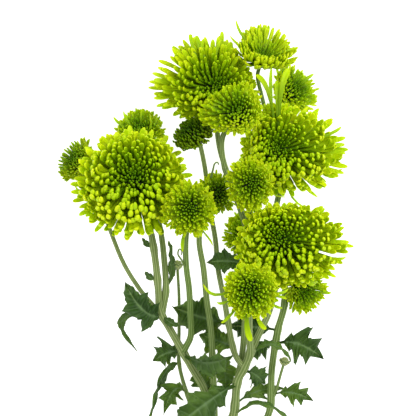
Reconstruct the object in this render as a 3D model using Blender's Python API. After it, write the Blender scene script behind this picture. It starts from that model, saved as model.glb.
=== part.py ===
"""Cut spray of a green pompon chrysanthemum, lying on a flat surface.

Tables are in millimetres, as seen from above: x to the right, y along the stems towards the blooms, and z up from
the surface. MIDDLE_X and MIDDLE_Y move the whole spray so that the middle of its box stands over the origin.
"""

import math
import random
from collections import namedtuple

import bmesh
import bpy
from mathutils import Matrix, Vector

MM = 0.001
MIDDLE_X = -8.35
MIDDLE_Y = 63.0

# Distances that keep separate pieces apart
SEAT_GAP = 0.32
CLEARANCE = 0.45
GOLDEN_ANGLE = math.radians(137.508)

Bloom = namedtuple("Bloom", "name kind disc facing reach stem")
Form = namedtuple("Form", "florets disc_height profile core cup rings width thickness")
Stem = namedtuple("Stem", "name radii points")
Leaf = namedtuple("Leaf", "name outline half_width base bend tip face fold")

# Blooms: where the middle of the disc lies, where it faces, and how far the florets reach left, right, up and down
BLOOMS = [
    Bloom("bloom_left_large", "spoon", (-50, 164, 80), (0.0, 0.30, 0.95), (39, 36, 31, 39), "stem_left"),
    Bloom("bloom_far_left", "button", (-94, 176, 16), (-0.55, 0.35, 0.75), (14, 14, 14, 13), "stem_far_left"),
    Bloom("bloom_left_rear", "button", (-48, 198, 38), (-0.10, 0.55, 0.83), (16, 18, 15, 14), "stem_left_rear"),
    Bloom("bloom_half_open", "button", (-11, 194, 70), (-0.45, 0.50, 0.74), (14, 14, 12, 11), "stem_half_open"),
    Bloom("bloom_top_large", "spoon", (6, 226, 62), (0.10, 0.25, 0.96), (42, 28, 33, 24), "stem_top_large"),
    Bloom("bloom_top_right", "spoon", (40, 253, 58), (0.25, 0.80, 0.55), (19, 19, 15, 15), "stem_top_right"),
    Bloom("bloom_upper_middle", "button", (20, 209, 92), (0.0, 0.25, 0.97), (29, 17, 19, 16), "stem_middle"),
    Bloom("bloom_right_rear", "button", (62, 225, 24), (0.50, 0.35, 0.79), (16, 15, 16, 15), "stem_right_rear"),
    Bloom("bloom_right_large", "spoon", (48, 183, 64), (0.05, 0.25, 0.97), (24, 44, 30, 29), "stem_right"),
    Bloom("bloom_middle_front", "button", (-12, 142, 104), (0.0, 0.05, 1.0), (19, 17, 18, 19), "stem_middle_front"),
    Bloom("bloom_middle_rear", "button", (7, 152, 56), (0.10, 0.10, 0.99), (14, 14, 15, 14), "stem_middle_rear"),
    Bloom("bloom_centre_front", "button", (30, 158, 102), (0.05, 0.0, 1.0), (18, 14, 18, 18), "stem_centre_front"),
    Bloom("bloom_lower_large", "spoon", (49, 122, 78), (-0.05, 0.20, 0.98), (29, 45, 23, 33), "stem_lower"),
    Bloom("bloom_lower_front", "button", (28, 86, 112), (0.0, -0.05, 1.0), (17, 20, 18, 19), "stem_leader"),
    Bloom("bloom_lower_right", "button", (66, 84, 38), (0.25, -0.25, 0.94), (12, 16, 14, 15), "stem_lower_right"),
    Bloom("bloom_centre_rear", "button", (26, 125, 34), (0.0, 0.30, 0.95), (15, 15, 16, 16), "stem_centre_rear"),
]

# Bloom forms, as shares of a bloom's mean reach. A profile lists how far out and how high the floret tips stand,
# from the middle of the disc to the lowest row.
FORMS = {
    "spoon": Form(
        florets=34,
        disc_height=0.50,
        profile=((0.0, 0.48), (0.22, 0.58), (0.50, 0.70), (0.80, 0.50), (0.98, 0.15), (1.04, -0.14)),
        core=((0.27, 0.0), (0.50, 0.12), (0.54, 0.26), (0.40, 0.38), (0.0, 0.40)),
        cup=((0.10, -0.22), (0.27, 0.0)),
        rings=(0.0, 0.5, 0.86),
        width=0.17,
        thickness=0.075,
    ),
    "button": Form(
        florets=24,
        disc_height=0.80,
        profile=((0.0, 0.80), (0.33, 0.80), (0.66, 0.62), (0.92, 0.30), (1.0, 0.0), (0.98, -0.18)),
        core=((0.32, 0.0), (0.64, 0.16), (0.67, 0.34), (0.46, 0.56), (0.0, 0.64)),
        cup=((0.13, -0.26), (0.32, 0.0)),
        rings=(0.0, 0.82),
        width=0.25,
        thickness=0.14,
    ),
}
CORE_SIDES = 10

# Florets: how far the drawn turn, reach and height vary, how deep the roots sink, and how the lowest rows arch
TURN_DRAW = 0.12
REACH_DRAW = (0.93, 1.04)
HEIGHT_DRAW = 0.04
ROOT_SHARE = 0.55
ROOT_DROP = 0.6
OUTER_ROWS = 0.85
BEND_PLACE = 0.55
BEND_OUT = 0.12
INNER_LIFT = 0.30
OUTER_ARCH = 0.10
KEEL = 1.6
SWELLS = {2: (0.7, 1.0), 3: (0.55, 0.8, 1.0)}
SMALLEST_FLORET = 0.42
SHORTENING = 0.05
FLORET_SAMPLES = (0.45, 0.6, 0.75, 0.9, 1.0)

# Neighbouring blooms share the room between their middles, which lie this far up from their bases
MIDDLE_SHARE = 0.25
NEIGHBOUR_REACH = 1.1

# A tilted bloom's own reach stays between these shares of the reach seen from above
LEAST_REACH = 0.55
MOST_REACH = 1.5

# Stems: radius at each end and the points they run through. The last point of a bloom's stem is its cup.
STEMS = [
    Stem("stem_main", (4.6, 3.9), [(8, -135, 4.1), (8, -115, 4.1), (7, -92, 4.1), (6, -66, 6), (8, -40, 12)]),
    Stem("stem_leader", (3.4, 2.4), [(6, -66, 6), (8, -42, 11), (13, -18, 17), (18, 1, 22), (20, 21, 27),
                                     (25, 32, 31), (29, 43, 38), (28, 58, 56), (28, 74, 78)]),
    Stem("stem_lower", (2.5, 2.2), [(29, 41, 36), (34, 53, 40), (42, 71, 44), (47, 92, 46)]),
    Stem("stem_left", (3.0, 2.3), [(8, -58, 8), (3, -24, 13), (-1, 11, 20), (-12, 33, 28), (-26, 58, 36),
                                   (-33, 71, 40), (-34, 84, 42), (-36, 105, 46), (-40, 128, 48)]),
    Stem("stem_left_rear", (2.4, 1.8), [(-32, 68, 39), (-29, 84, 40), (-30, 105, 40), (-33, 128, 36),
                                        (-40, 158, 28)]),
    Stem("stem_far_left", (1.7, 1.4), [(-33, 70, 40), (-38, 75, 37), (-48, 87, 30), (-59, 105, 22),
                                       (-70, 132, 12), (-78, 152, 7)]),
    Stem("stem_middle_front", (2.3, 2.0), [(-17, 43, 32), (-12, 53, 36), (-12, 66, 40), (-13, 86, 47),
                                           (-15, 103, 56), (-15, 122, 70)]),
    Stem("stem_middle_rear", (2.6, 1.9), [(7, -50, 10), (5, -15, 15), (4, 14, 22), (3, 38, 30), (2, 58, 35),
                                          (-1, 79, 40), (-3, 99, 42), (-6, 122, 40), (2, 140, 38)]),
    Stem("stem_half_open", (2.1, 1.6), [(25, 32, 31), (20, 38, 33), (17, 46, 35), (14, 62, 36), (11, 79, 35),
                                        (7, 99, 33), (5, 120, 32), (1, 143, 32), (-2, 168, 42)]),
    Stem("stem_middle", (2.3, 1.9), [(20, 21, 27), (24, 45, 28), (26, 79, 32), (27, 100, 46), (26, 126, 54),
                                     (21, 143, 54), (11, 171, 56), (10, 190, 62)]),
    Stem("stem_top_large", (1.9, 1.9), [(12, 168, 56), (8, 182, 50), (6, 196, 40), (5, 208, 34)]),
    Stem("stem_centre_front", (1.8, 1.7), [(26, 124, 54), (28, 138, 60), (30, 150, 72)]),
    Stem("stem_centre_rear", (1.7, 1.5), [(26, 77, 32), (28, 92, 22), (28, 106, 14)]),
    Stem("stem_right", (2.7, 2.1), [(7, -66, 5.5), (22, -36, 9), (36, -12, 11), (43, 3, 12), (44, 29, 15),
                                    (48, 56, 19), (53, 78, 21), (51, 112, 24), (47, 139, 26), (50, 158, 28)]),
    Stem("stem_lower_right", (1.6, 1.5), [(53, 76, 21), (58, 82, 19), (61, 87, 20)]),
    Stem("stem_right_rear", (1.6, 1.4), [(48, 136, 26), (48, 160, 16), (50, 190, 8), (53, 208, 7)]),
    Stem("stem_top_right", (1.6, 1.4), [(47, 158, 17), (44, 188, 20), (38, 214, 32), (34, 230, 44)]),
    Stem("stem_bud_left", (1.6, 1.0), [(2, -24, 13), (-8, -5, 10), (-15, 14, 10), (-20, 34, 13), (-20, 58, 18),
                                       (-22, 80, 23), (-25, 97, 28)]),
    Stem("stem_bud_right", (1.2, 0.9), [(43, 6, 12), (47, 15, 15), (50, 26, 19), (52, 33, 22)]),
]
STEM_SIDES = 6
MAIN_SIDES = 8
STEM_STEP = 19.0
END_SLANT = 0.30

# Buds: the stem that carries each one and its radius
BUDS = {"bud_left": ("stem_bud_left", 3.4), "bud_right": ("stem_bud_right", 3.0)}

# Leaf outlines: where each edge point's rib leaves the midrib, and the point's place along and across the leaf
OUTLINES = {
    "lobed": (
        (0.00, 0.00, 0.06), (0.16, 0.16, 0.07), (0.24, 0.30, 0.42), (0.33, 0.34, 0.18), (0.42, 0.62, 1.00),
        (0.50, 0.60, 0.62), (0.58, 0.58, 0.24), (0.68, 0.80, 0.66), (0.80, 0.81, 0.24), (1.00, 1.00, 0.00),
    ),
    "broad": (
        (0.00, 0.00, 0.10), (0.06, 0.10, 0.40), (0.14, 0.24, 1.00), (0.26, 0.32, 0.50), (0.38, 0.48, 0.60),
        (0.50, 0.66, 0.90), (0.62, 0.70, 0.44), (0.78, 0.86, 0.34), (1.00, 1.00, 0.00),
    ),
    "toothed": (
        (0.00, 0.00, 0.10), (0.14, 0.14, 0.12), (0.26, 0.32, 0.62), (0.38, 0.41, 0.50), (0.50, 0.60, 1.00),
        (0.62, 0.66, 0.66), (0.74, 0.80, 0.70), (0.86, 0.86, 0.30), (1.00, 1.00, 0.00),
    ),
    "narrow": (
        (0.00, 0.00, 0.14), (0.24, 0.26, 0.80), (0.50, 0.56, 1.00), (0.70, 0.70, 0.55), (0.86, 0.88, 0.50),
        (1.00, 1.00, 0.00),
    ),
}
LEAF_THICKNESS = 0.75
NARROWEST_EDGE = 0.45
SEAT_STEP = 0.002
SEAT_LIMIT = 0.6

LEAVES = [
    Leaf("leaf_left_lobed", "broad", 11, (-34, 67, 42), (-47, 68, 49), (-57, 91, 43), (0.1, -0.3, 1.0), 0.25),
    Leaf("leaf_left_drooping", "narrow", 3.0, (-34, 70, 40), (-76, 72, 37), (-49, 43, 20), (0.2, 0.5, 0.8), 0.2),
    Leaf("leaf_left_inner", "toothed", 14, (14, 63, 36), (0, 63, 20), (-25, 74, 31), (0.0, -0.1, 1.0), 0.1),
    Leaf("leaf_left_low", "lobed", 11, (-15, 41, 30), (-24, 46, 26), (-38, 36, 20), (0.3, 0.2, 0.9), 0.3),
    Leaf("leaf_folded_front", "toothed", 9, (-16, 42, 31), (-4, 30, 46), (17, 41, 47), (0.0, -0.5, 0.85), 0.5),
    Leaf("leaf_long_drooping", "narrow", 5, (-20, 34, 13), (-34, 34, 14), (-41, -8, 2.5), (0.9, 0.3, 0.5), 0.2),
    Leaf("leaf_bottom_left", "lobed", 9, (-14, 12, 10), (-24, 26, 9), (-31, -2, 4), (0.2, 0.0, 1.0), 0.2),
    Leaf("leaf_bottom_large", "toothed", 14, (20, 21, 27), (4, 13, 38), (-26, -12, 32), (0.1, -0.2, 1.0), 0.25),
    Leaf("leaf_behind_left", "broad", 11, (17, 46, 35), (8, 50, 27), (-6, 54, 20), (0.0, 0.1, 1.0), 0.2),
    Leaf("leaf_behind_right", "lobed", 11, (48, 57, 19), (36, 60, 20), (12, 60, 18), (0.0, 0.0, 1.0), 0.15),
    Leaf("leaf_right_lobed", "lobed", 16, (46, 47, 18), (60, 54, 24), (80, 37, 19), (0.0, 0.0, 1.0), 0.2),
    Leaf("leaf_right_inner", "lobed", 9, (47, 51, 18), (40, 48, 13), (26, 37, 12), (0.0, 0.0, 1.0), 0.1),
    Leaf("leaf_right_arching", "narrow", 4.5, (29, 42, 37), (46, 56, 46), (57, 36, 33), (0.3, 0.8, 0.5), 0.2),
    Leaf("leaf_lower_right", "lobed", 10, (44, 12, 13), (56, 18, 20), (73, 8, 14), (0.1, -0.1, 1.0), 0.2),
    Leaf("leaf_lower_rear", "lobed", 8, (18, 5, 23), (32, 18, 4), (54, 16, 3), (0.0, 0.1, 1.0), 0.1),
    Leaf("leaf_bottom_arching", "narrow", 4.5, (17, -4, 21), (34, 18, 36), (57, -6, 26), (0.1, 0.9, 0.4), 0.2),
    Leaf("leaf_leader_right", "toothed", 8, (24, 29, 30), (32, 30, 29), (39, 20, 20), (0.0, 0.0, 1.0), 0.2),
    Leaf("leaf_behind_blooms", "toothed", 9, (27, 102, 46), (16, 107, 43), (-1, 104, 42), (0.0, 0.0, 1.0), 0.2),
    Leaf("leaf_upright_left", "narrow", 4.5, (-29, 84, 40), (-21, 96, 40), (-25, 119, 36), (0.8, 0.0, 0.5), 0.2),
    Leaf("leaf_bract_upper", "narrow", 2.2, (-38, 114, 47), (-42, 116, 48), (-45, 121, 49), (0.0, 0.0, 1.0), 0.1),
    Leaf("leaf_bract_lower", "narrow", 2.6, (-35, 92, 44), (-40, 93, 45), (-43, 98, 46), (0.0, 0.0, 1.0), 0.1),
    Leaf("leaf_node_left", "narrow", 3.2, (-31, 68, 39), (-27, 62, 46), (-20, 61, 43), (0.0, 0.3, 1.0), 0.2),
    Leaf("leaf_centre_rear", "toothed", 7, (4, 39, 30), (14, 35, 17), (12, 14, 8), (0.0, 0.0, 1.0), 0.2),
    Leaf("leaf_centre_low", "toothed", 7, (3, 15, 20), (-3, 21, 12), (-10, 29, 8), (0.0, 0.0, 1.0), 0.2),
]


def material(name, colour, roughness):
    """A plain Principled material."""
    made = bpy.data.materials.new(name)
    made.use_nodes = True
    shader = made.node_tree.nodes["Principled BSDF"]
    shader.inputs["Base Color"].default_value = (*colour, 1.0)
    shader.inputs["Roughness"].default_value = roughness
    shader.inputs["Metallic"].default_value = 0.0
    return made


def placed(point):
    """A point of the tables, in millimetres, in metres from the origin."""
    return Vector((point[0] - MIDDLE_X, point[1] - MIDDLE_Y, point[2])) * MM


def smooth_path(points, step):
    """Points a step apart along a smooth curve through the given points (all in metres)."""
    ends = [points[0] * 2 - points[1], *points, points[-1] * 2 - points[-2]]
    path = [points[0].copy()]
    for before, start, end, after in zip(ends, ends[1:], ends[2:], ends[3:]):
        pieces = max(1, round((end - start).length / step))
        for piece in range(1, pieces + 1):
            t = piece / pieces
            path.append(0.5 * (2 * start + (end - before) * t + (2 * before - 5 * start + 4 * end - after) * t**2
                               + (3 * start - before - 3 * end + after) * t**3))
    return path


def side_frames(path):
    """Two directions across the path at each point, turned as little as possible from one point to the next."""
    across = Vector((1, 0, 0))
    frames = []
    for index, point in enumerate(path):
        along = (path[min(index + 1, len(path) - 1)] - path[max(index - 1, 0)]).normalized()
        across = (across - along * across.dot(along)).normalized()
        frames.append((across.copy(), along.cross(across)))
    return frames


def new_object(name, mesh_data, look):
    """An object with one material, from a bmesh, with its normals pointing out."""
    bmesh.ops.recalc_face_normals(mesh_data, faces=mesh_data.faces)
    mesh = bpy.data.meshes.new(name)
    mesh_data.to_mesh(mesh)
    mesh_data.free()
    mesh.materials.append(look)
    made = bpy.data.objects.new(name, mesh)
    bpy.context.scene.collection.objects.link(made)
    return made


def tube(name, path, radii, sides, look, slant=0.0):
    """A closed round tube along a path, whose first end may be cut at a slant."""
    data = bmesh.new()
    rings = []
    for point, radius, (across, up) in zip(path, radii, side_frames(path)):
        ring = []
        for side in range(sides):
            angle = math.tau * (side + 0.5) / sides - math.pi / 2
            offset = (across * math.cos(angle) + up * math.sin(angle)) * radius
            ring.append(data.verts.new(point + offset))
        rings.append(ring)
    for vertex in rings[0]:
        vertex.co.y += slant * (vertex.co.z - path[0].z)
    for ring, following in zip(rings, rings[1:]):
        for side in range(sides):
            after = (side + 1) % sides
            data.faces.new((ring[side], ring[after], following[after], following[side]))
    data.faces.new(rings[0][::-1])
    data.faces.new(rings[-1])
    return new_object(name, data, look)


def facing_axes(facing):
    """A turn from a bloom's own axes, right, up the spray and out along its facing, to the frame's."""
    right = (Vector((1, 0, 0)) - facing * facing.x).normalized()
    return Matrix((right, facing.cross(right), facing)).transposed()


def turned(name, base, facing, outline, sides, look):
    """A closed turned shape. The outline lists radius and height along the facing, from the bottom upwards."""
    turn = facing_axes(facing)
    data = bmesh.new()
    rings = []
    for radius, height in outline:
        if radius == 0.0:
            rings.append([data.verts.new(base + turn @ Vector((0, 0, height)))])
            continue
        angles = [math.tau * (side + 0.5) / sides for side in range(sides)]
        local = [Vector((radius * math.cos(angle), radius * math.sin(angle), height)) for angle in angles]
        rings.append([data.verts.new(base + turn @ point) for point in local])
    for ring, following in zip(rings, rings[1:]):
        for side in range(sides):
            after = (side + 1) % sides
            if len(following) == 1:
                data.faces.new((ring[side], ring[after], following[0]))
            else:
                data.faces.new((ring[side], ring[after], following[after], following[side]))
    data.faces.new(rings[0][::-1])
    if len(rings[-1]) > 1:
        data.faces.new(rings[-1])
    return new_object(name, data, look)


def united(body, others):
    """Joins the others to the body with one Boolean union on their collection, and removes them."""
    group = bpy.data.collections.new(body.name + "_parts")
    bpy.context.scene.collection.children.link(group)
    for other in others:
        bpy.context.scene.collection.objects.unlink(other)
        group.objects.link(other)
    union = body.modifiers.new("union", "BOOLEAN")
    union.operation = "UNION"
    union.operand_type = "COLLECTION"
    union.collection = group
    union.solver = "EXACT"
    bpy.context.view_layer.update()
    joined = bpy.data.meshes.new_from_object(body.evaluated_get(bpy.context.evaluated_depsgraph_get()))
    body.modifiers.clear()
    body.data = joined
    for other in list(group.objects):
        bpy.data.objects.remove(other)
    bpy.data.collections.remove(group)
    return body


def cut_at_surface(thing):
    """Cuts off what lies below the surface at z = 0, and leaves a flat face there."""
    data = bmesh.new()
    data.from_mesh(thing.data)
    everything = [*data.verts, *data.edges, *data.faces]
    bmesh.ops.bisect_plane(data, geom=everything, dist=1e-7, plane_co=(0, 0, 0), plane_no=(0, 0, 1),
                           clear_inner=True)
    bmesh.ops.holes_fill(data, edges=[edge for edge in data.edges if edge.is_boundary])
    data.to_mesh(thing.data)
    data.free()


def mean_reach(bloom):
    return sum(bloom.reach) / len(bloom.reach) * MM


def bloom_base(bloom):
    """Where the bloom sits on its cup, and the direction it faces."""
    facing = Vector(bloom.facing).normalized()
    return placed(bloom.disc) - facing * FORMS[bloom.kind].disc_height * mean_reach(bloom), facing


def stem_path(stem):
    """A stem's centre line. A stem that carries a bloom goes on to the bloom's cup, along its facing."""
    points = [placed(point) for point in stem.points]
    for bloom in BLOOMS:
        if bloom.stem == stem.name:
            base, facing = bloom_base(bloom)
            cup_foot = base + facing * (FORMS[bloom.kind].cup[0][1] * mean_reach(bloom) + 0.5 * MM)
            points += [cup_foot - facing * 0.30 * mean_reach(bloom), cup_foot]
    path = smooth_path(points, STEM_STEP * MM)
    start, end = stem.radii
    radii = [(start + (end - start) * index / (len(path) - 1)) * MM for index in range(len(path))]
    return path, radii


def distance_to_stems(point, stems):
    """How far a point is from the surface of the nearest stem."""
    nearest = math.inf
    for path, radii in stems:
        for start, end, radius, radius_after in zip(path, path[1:], radii, radii[1:]):
            along = end - start
            share = min(1.0, max(0.0, (point - start).dot(along) / along.length_squared))
            gap = (point - start - along * share).length - radius - (radius_after - radius) * share
            nearest = min(nearest, gap)
    return nearest


def along_profile(profile, t):
    """Reach and height of the floret tips, t of the way from the disc to the lowest row."""
    place = t * (len(profile) - 1)
    index = min(int(place), len(profile) - 2)
    share = place - index
    (reach, height), (reach_after, height_after) = profile[index], profile[index + 1]
    return reach + (reach_after - reach) * share, height + (height_after - height) * share


def own_reach(bloom):
    """Reaches along the bloom's own axes in metres, longer where a tilted bloom is seen foreshortened from above."""
    facing = Vector(bloom.facing).normalized()
    level = math.hypot(facing.y, facing.z)
    steep = facing.z / level
    back = facing * FORMS[bloom.kind].disc_height * mean_reach(bloom) / MM
    left, right, up, down = bloom.reach
    wanted = ((left - back.x) / level, (right + back.x) / level, (up + back.y) / steep, (down - back.y) / steep)
    return [min(max(own, LEAST_REACH * seen), MOST_REACH * seen) * MM for own, seen in zip(wanted, bloom.reach)]


def directed_reach(bloom, angle):
    """The bloom's reach in metres at an angle round its facing."""
    left, right, up, down = own_reach(bloom)
    across = right if math.cos(angle) > 0 else left
    upright = up if math.sin(angle) > 0 else down
    return 1 / math.hypot(math.cos(angle) / across, math.sin(angle) / upright)


def floret_path(bloom, form, index, turn, base, draw):
    """Root, bend and tip of one floret, and its direction out from the disc."""
    t = math.sqrt((index + 0.5) / form.florets)
    angle = index * GOLDEN_ANGLE + draw.uniform(-TURN_DRAW, TURN_DRAW)
    out = Vector((math.cos(angle), math.sin(angle), 0))
    mean = mean_reach(bloom)
    reach = directed_reach(bloom, angle)
    out_share, height_share = along_profile(form.profile, t)
    out_share *= draw.uniform(*REACH_DRAW)
    root = out * form.core[1][0] * ROOT_SHARE * t * mean
    root.z = form.core[2][1] * mean * (1.0 - ROOT_DROP * t)
    tip = out * out_share * reach
    tip.z = (height_share + draw.uniform(-HEIGHT_DRAW, HEIGHT_DRAW)) * mean
    outer = t >= OUTER_ROWS
    lift = OUTER_ROWS if outer else INNER_LIFT
    bend = root.lerp(tip, BEND_PLACE) + out * BEND_OUT * out_share * reach
    bend.z = root.z + (tip.z - root.z) * lift + (OUTER_ARCH * mean if outer else 0.0)
    return [base + turn @ point for point in (root, bend, tip)], turn @ out


def curve_point(points, s):
    root, bend, tip = points
    return root * (1 - s) ** 2 + bend * 2 * s * (1 - s) + tip * s**2


def floret_rings(points, out, facing, form, mean):
    """The corners of a floret: a three-sided ring with its keel outwards at each share of its length, and its tip."""
    side = facing.cross(out).normalized()
    rings = []
    for place, s in enumerate(form.rings):
        along = (curve_point(points, min(s + 0.05, 1)) - curve_point(points, max(s - 0.05, 0))).normalized()
        across = (side - along * side.dot(along)).normalized()
        flat = along.cross(across)
        swell = SWELLS[len(form.rings)][place]
        half_width = form.width * mean * swell / 2
        half_thick = form.thickness * mean * swell / 2
        centre = curve_point(points, s)
        rings.append([centre + across * half_width - flat * half_thick,
                      centre + flat * half_thick * KEEL,
                      centre - across * half_width - flat * half_thick])
    return rings, points[2]


def share_inside(corners, root, planes):
    """How much of its length a floret keeps so that its corners stay behind every plane."""
    share = 1.0
    for normal, offset in planes:
        room = offset - normal.dot(root)
        for corner in corners:
            reach = normal.dot(corner - root)
            if reach > 0 and share * reach > room:
                share = max(room / reach, 0.0)
    return share


def cell_planes(bloom):
    """Planes between this bloom and each neighbour, and the surface that the spray lies on."""
    base, facing = bloom_base(bloom)
    middle = base + facing * MIDDLE_SHARE * mean_reach(bloom)
    planes = [(Vector((0, 0, -1)), 0.0)]
    for other in BLOOMS:
        if other is bloom:
            continue
        other_base, other_facing = bloom_base(other)
        apart = other_base + other_facing * MIDDLE_SHARE * mean_reach(other) - middle
        room = max(bloom.reach) * MM + max(other.reach) * MM
        if apart.length < room * NEIGHBOUR_REACH:
            share = mean_reach(bloom) / (mean_reach(bloom) + mean_reach(other))
            normal = apart.normalized()
            planes.append((normal, normal.dot(middle) + apart.length * share - CLEARANCE / 2 * MM))
    return planes


def floret(name, rings, tip, look):
    data = bmesh.new()
    corners = [[data.verts.new(corner) for corner in ring] for ring in rings]
    end = data.verts.new(tip)
    for ring, following in zip(corners, corners[1:]):
        for side in range(3):
            after = (side + 1) % 3
            data.faces.new((ring[side], ring[after], following[after]))
            data.faces.new((ring[side], following[after], following[side]))
    for side in range(3):
        data.faces.new((corners[-1][side], corners[-1][(side + 1) % 3], end))
    data.faces.new(corners[0][::-1])
    return new_object(name, data, look)


def build_bloom(bloom, seed, obstacles, look):
    """A bloom: florets in layers that stand out of a smaller core."""
    form = FORMS[bloom.kind]
    base, facing = bloom_base(bloom)
    mean = mean_reach(bloom)
    turn = facing_axes(facing)
    core_outline = [(radius * mean, height * mean + (SEAT_GAP * MM if place == 0 else 0))
                    for place, (radius, height) in enumerate(form.core)]
    core = turned(bloom.name, base, facing, core_outline, CORE_SIDES, look)
    planes = cell_planes(bloom)
    draw = random.Random(seed)
    florets = []
    for index in range(form.florets):
        points, out = floret_path(bloom, form, index, turn, base, draw)
        rings, tip = floret_rings(points, out, facing, form, mean)
        share = share_inside([corner for ring in rings for corner in ring] + [tip], points[0], planes)
        half = form.width * mean / 2
        while share > SMALLEST_FLORET:
            samples = [points[0].lerp(curve_point(points, s), share) for s in FLORET_SAMPLES]
            if min(distance_to_stems(sample, obstacles) for sample in samples) > half * share + CLEARANCE * MM:
                break
            share -= SHORTENING
        if share <= SMALLEST_FLORET:
            continue
        rings = [[points[0].lerp(corner, share) for corner in ring] for ring in rings]
        florets.append(floret("floret", rings, points[0].lerp(tip, share), look))
    return united(core, florets)


def build_stems(look):
    """All stems and the cups under the blooms, grown together as one body."""
    paths = {stem.name: stem_path(stem) for stem in STEMS}
    main_path, main_radii = paths["stem_main"]
    body = tube("branched_stem", main_path, main_radii, MAIN_SIDES, look, END_SLANT)
    cut_at_surface(body)
    others = [tube(name, path, radii, STEM_SIDES, look) for name, (path, radii) in paths.items()
              if name != "stem_main"]
    for bloom in BLOOMS:
        base, facing = bloom_base(bloom)
        outline = [(radius * mean_reach(bloom), height * mean_reach(bloom))
                   for radius, height in FORMS[bloom.kind].cup]
        others.append(turned("cup", base, facing, outline, STEM_SIDES, look))
    return united(body, others), paths


def cup_obstacles():
    """The cups as short thick stems, by bloom."""
    cups = {}
    for bloom in BLOOMS:
        base, facing = bloom_base(bloom)
        cup = FORMS[bloom.kind].cup
        mean = mean_reach(bloom)
        cups[bloom.name] = ([base + facing * cup[0][1] * mean, base], [cup[0][0] * mean, cup[-1][0] * mean])
    return cups


def build_bud(name, path, radius, look):
    """A closed bud, sitting on the end of its stalk."""
    facing = (path[-1] - path[-2]).normalized()
    size = radius * MM
    outline = [(0.45 * size, SEAT_GAP * MM), (0.92 * size, 0.5 * size), (1.0 * size, 1.0 * size),
               (0.75 * size, 1.55 * size), (0.3 * size, 1.8 * size), (0.0, 1.85 * size)]
    return turned(name, path[-1], facing, outline, CORE_SIDES, look)


def build_leaf(leaf, stems, look):
    """A thin bent blade with a cut edge. Both faces are split into the same triangles."""
    midrib = [placed(leaf.base), placed(leaf.bend), placed(leaf.tip)]
    seat = LEAF_THICKNESS / 2 + SEAT_GAP
    start = 0.0
    while distance_to_stems(curve_point(midrib, start), stems) < seat * MM and start < SEAT_LIMIT:
        start += SEAT_STEP
    face = Vector(leaf.face).normalized()
    half_width = leaf.half_width * MM

    def frame_at(u):
        s = start + (1 - start) * u
        along = curve_point(midrib, min(s + 0.02, 1)) - curve_point(midrib, max(s - 0.02, 0))
        along.normalize()
        side = face.cross(along).normalized()
        return curve_point(midrib, s), side, along.cross(side)

    data = bmesh.new()
    layers = []
    for layer in (1, -1):
        middle, sides = [], {1: [], -1: []}
        for root, u, v in OUTLINES[leaf.outline]:
            centre, side, normal = frame_at(root)
            thick = normal * layer * LEAF_THICKNESS * MM / 2
            middle.append(data.verts.new(centre + thick))
            if v == 0.0:
                continue
            edge_centre, edge_side = frame_at(u)[:2]
            for hand in (1, -1):
                reach = max(v * half_width, NARROWEST_EDGE * MM)
                rise = normal * leaf.fold * reach
                edge = edge_centre + edge_side * hand * reach + rise
                sides[hand].append(data.verts.new(edge + thick))
        layers.append((middle, sides))
    for place, (middle, sides) in enumerate(layers):
        for hand in (1, -1):
            edge = sides[hand]
            flip = (hand == 1) == (place == 0)
            for index in range(len(edge)):
                if index + 1 < len(edge):
                    corners = [(middle[index], middle[index + 1], edge[index + 1]),
                               (middle[index], edge[index + 1], edge[index])]
                else:
                    corners = [(middle[index], middle[index + 1], edge[index])]
                for triangle in corners:
                    data.faces.new(triangle if flip else triangle[::-1])
    (top_middle, top_sides), (low_middle, low_sides) = layers
    for hand in (1, -1):
        top = [top_middle[0], *top_sides[hand], top_middle[-1]]
        low = [low_middle[0], *low_sides[hand], low_middle[-1]]
        for index in range(len(top) - 1):
            data.faces.new((top[index], top[index + 1], low[index + 1]))
            data.faces.new((top[index], low[index + 1], low[index]))
    return new_object(leaf.name, data, look)


def main():
    for thing in list(bpy.data.objects):
        bpy.data.objects.remove(thing)
    stem_look = material("stem_green", (0.22, 0.33, 0.12), 0.6)
    leaf_look = material("leaf_green", (0.05, 0.13, 0.03), 0.55)
    floret_look = material("floret_lime", (0.33, 0.55, 0.02), 0.5)
    bud_look = material("bud_green", (0.20, 0.32, 0.06), 0.55)
    stem_body, paths = build_stems(stem_look)
    stems = list(paths.values())
    cups = cup_obstacles()
    for seed, bloom in enumerate(BLOOMS, start=1):
        obstacles = stems + [cup for name, cup in cups.items() if name != bloom.name]
        build_bloom(bloom, seed, obstacles, floret_look)
    for name, (stem, radius) in BUDS.items():
        build_bud(name, paths[stem][0], radius, bud_look)
    for leaf in LEAVES:
        build_leaf(leaf, stems, leaf_look)


main()
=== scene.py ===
"""Looks of a cut spray of green pompon chrysanthemums: florets, bracts, ribbed stems and veined leaves.

Tables are in millimetres, as seen from above: x to the right and y along the stems towards the blooms, both
from the photograph's lower middle, and z up from the surface. MIDDLE_X and MIDDLE_Y give the frame's origin.
"""

import math
import random
from collections import namedtuple

import bpy
import numpy as np
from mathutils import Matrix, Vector


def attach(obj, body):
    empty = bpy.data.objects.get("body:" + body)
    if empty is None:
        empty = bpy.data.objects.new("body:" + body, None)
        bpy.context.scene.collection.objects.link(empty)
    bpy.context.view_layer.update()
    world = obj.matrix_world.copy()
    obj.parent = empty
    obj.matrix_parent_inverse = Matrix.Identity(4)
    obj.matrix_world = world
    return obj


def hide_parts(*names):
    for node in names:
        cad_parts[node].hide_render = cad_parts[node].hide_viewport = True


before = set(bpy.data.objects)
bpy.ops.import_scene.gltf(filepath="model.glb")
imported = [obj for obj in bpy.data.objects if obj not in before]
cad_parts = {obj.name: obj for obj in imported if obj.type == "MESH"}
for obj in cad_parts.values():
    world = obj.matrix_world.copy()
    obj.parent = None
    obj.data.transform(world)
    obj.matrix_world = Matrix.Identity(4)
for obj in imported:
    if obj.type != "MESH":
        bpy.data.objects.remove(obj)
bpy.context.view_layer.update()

MM = 0.001
MIDDLE_X = -8.35
MIDDLE_Y = 63.0
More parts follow.
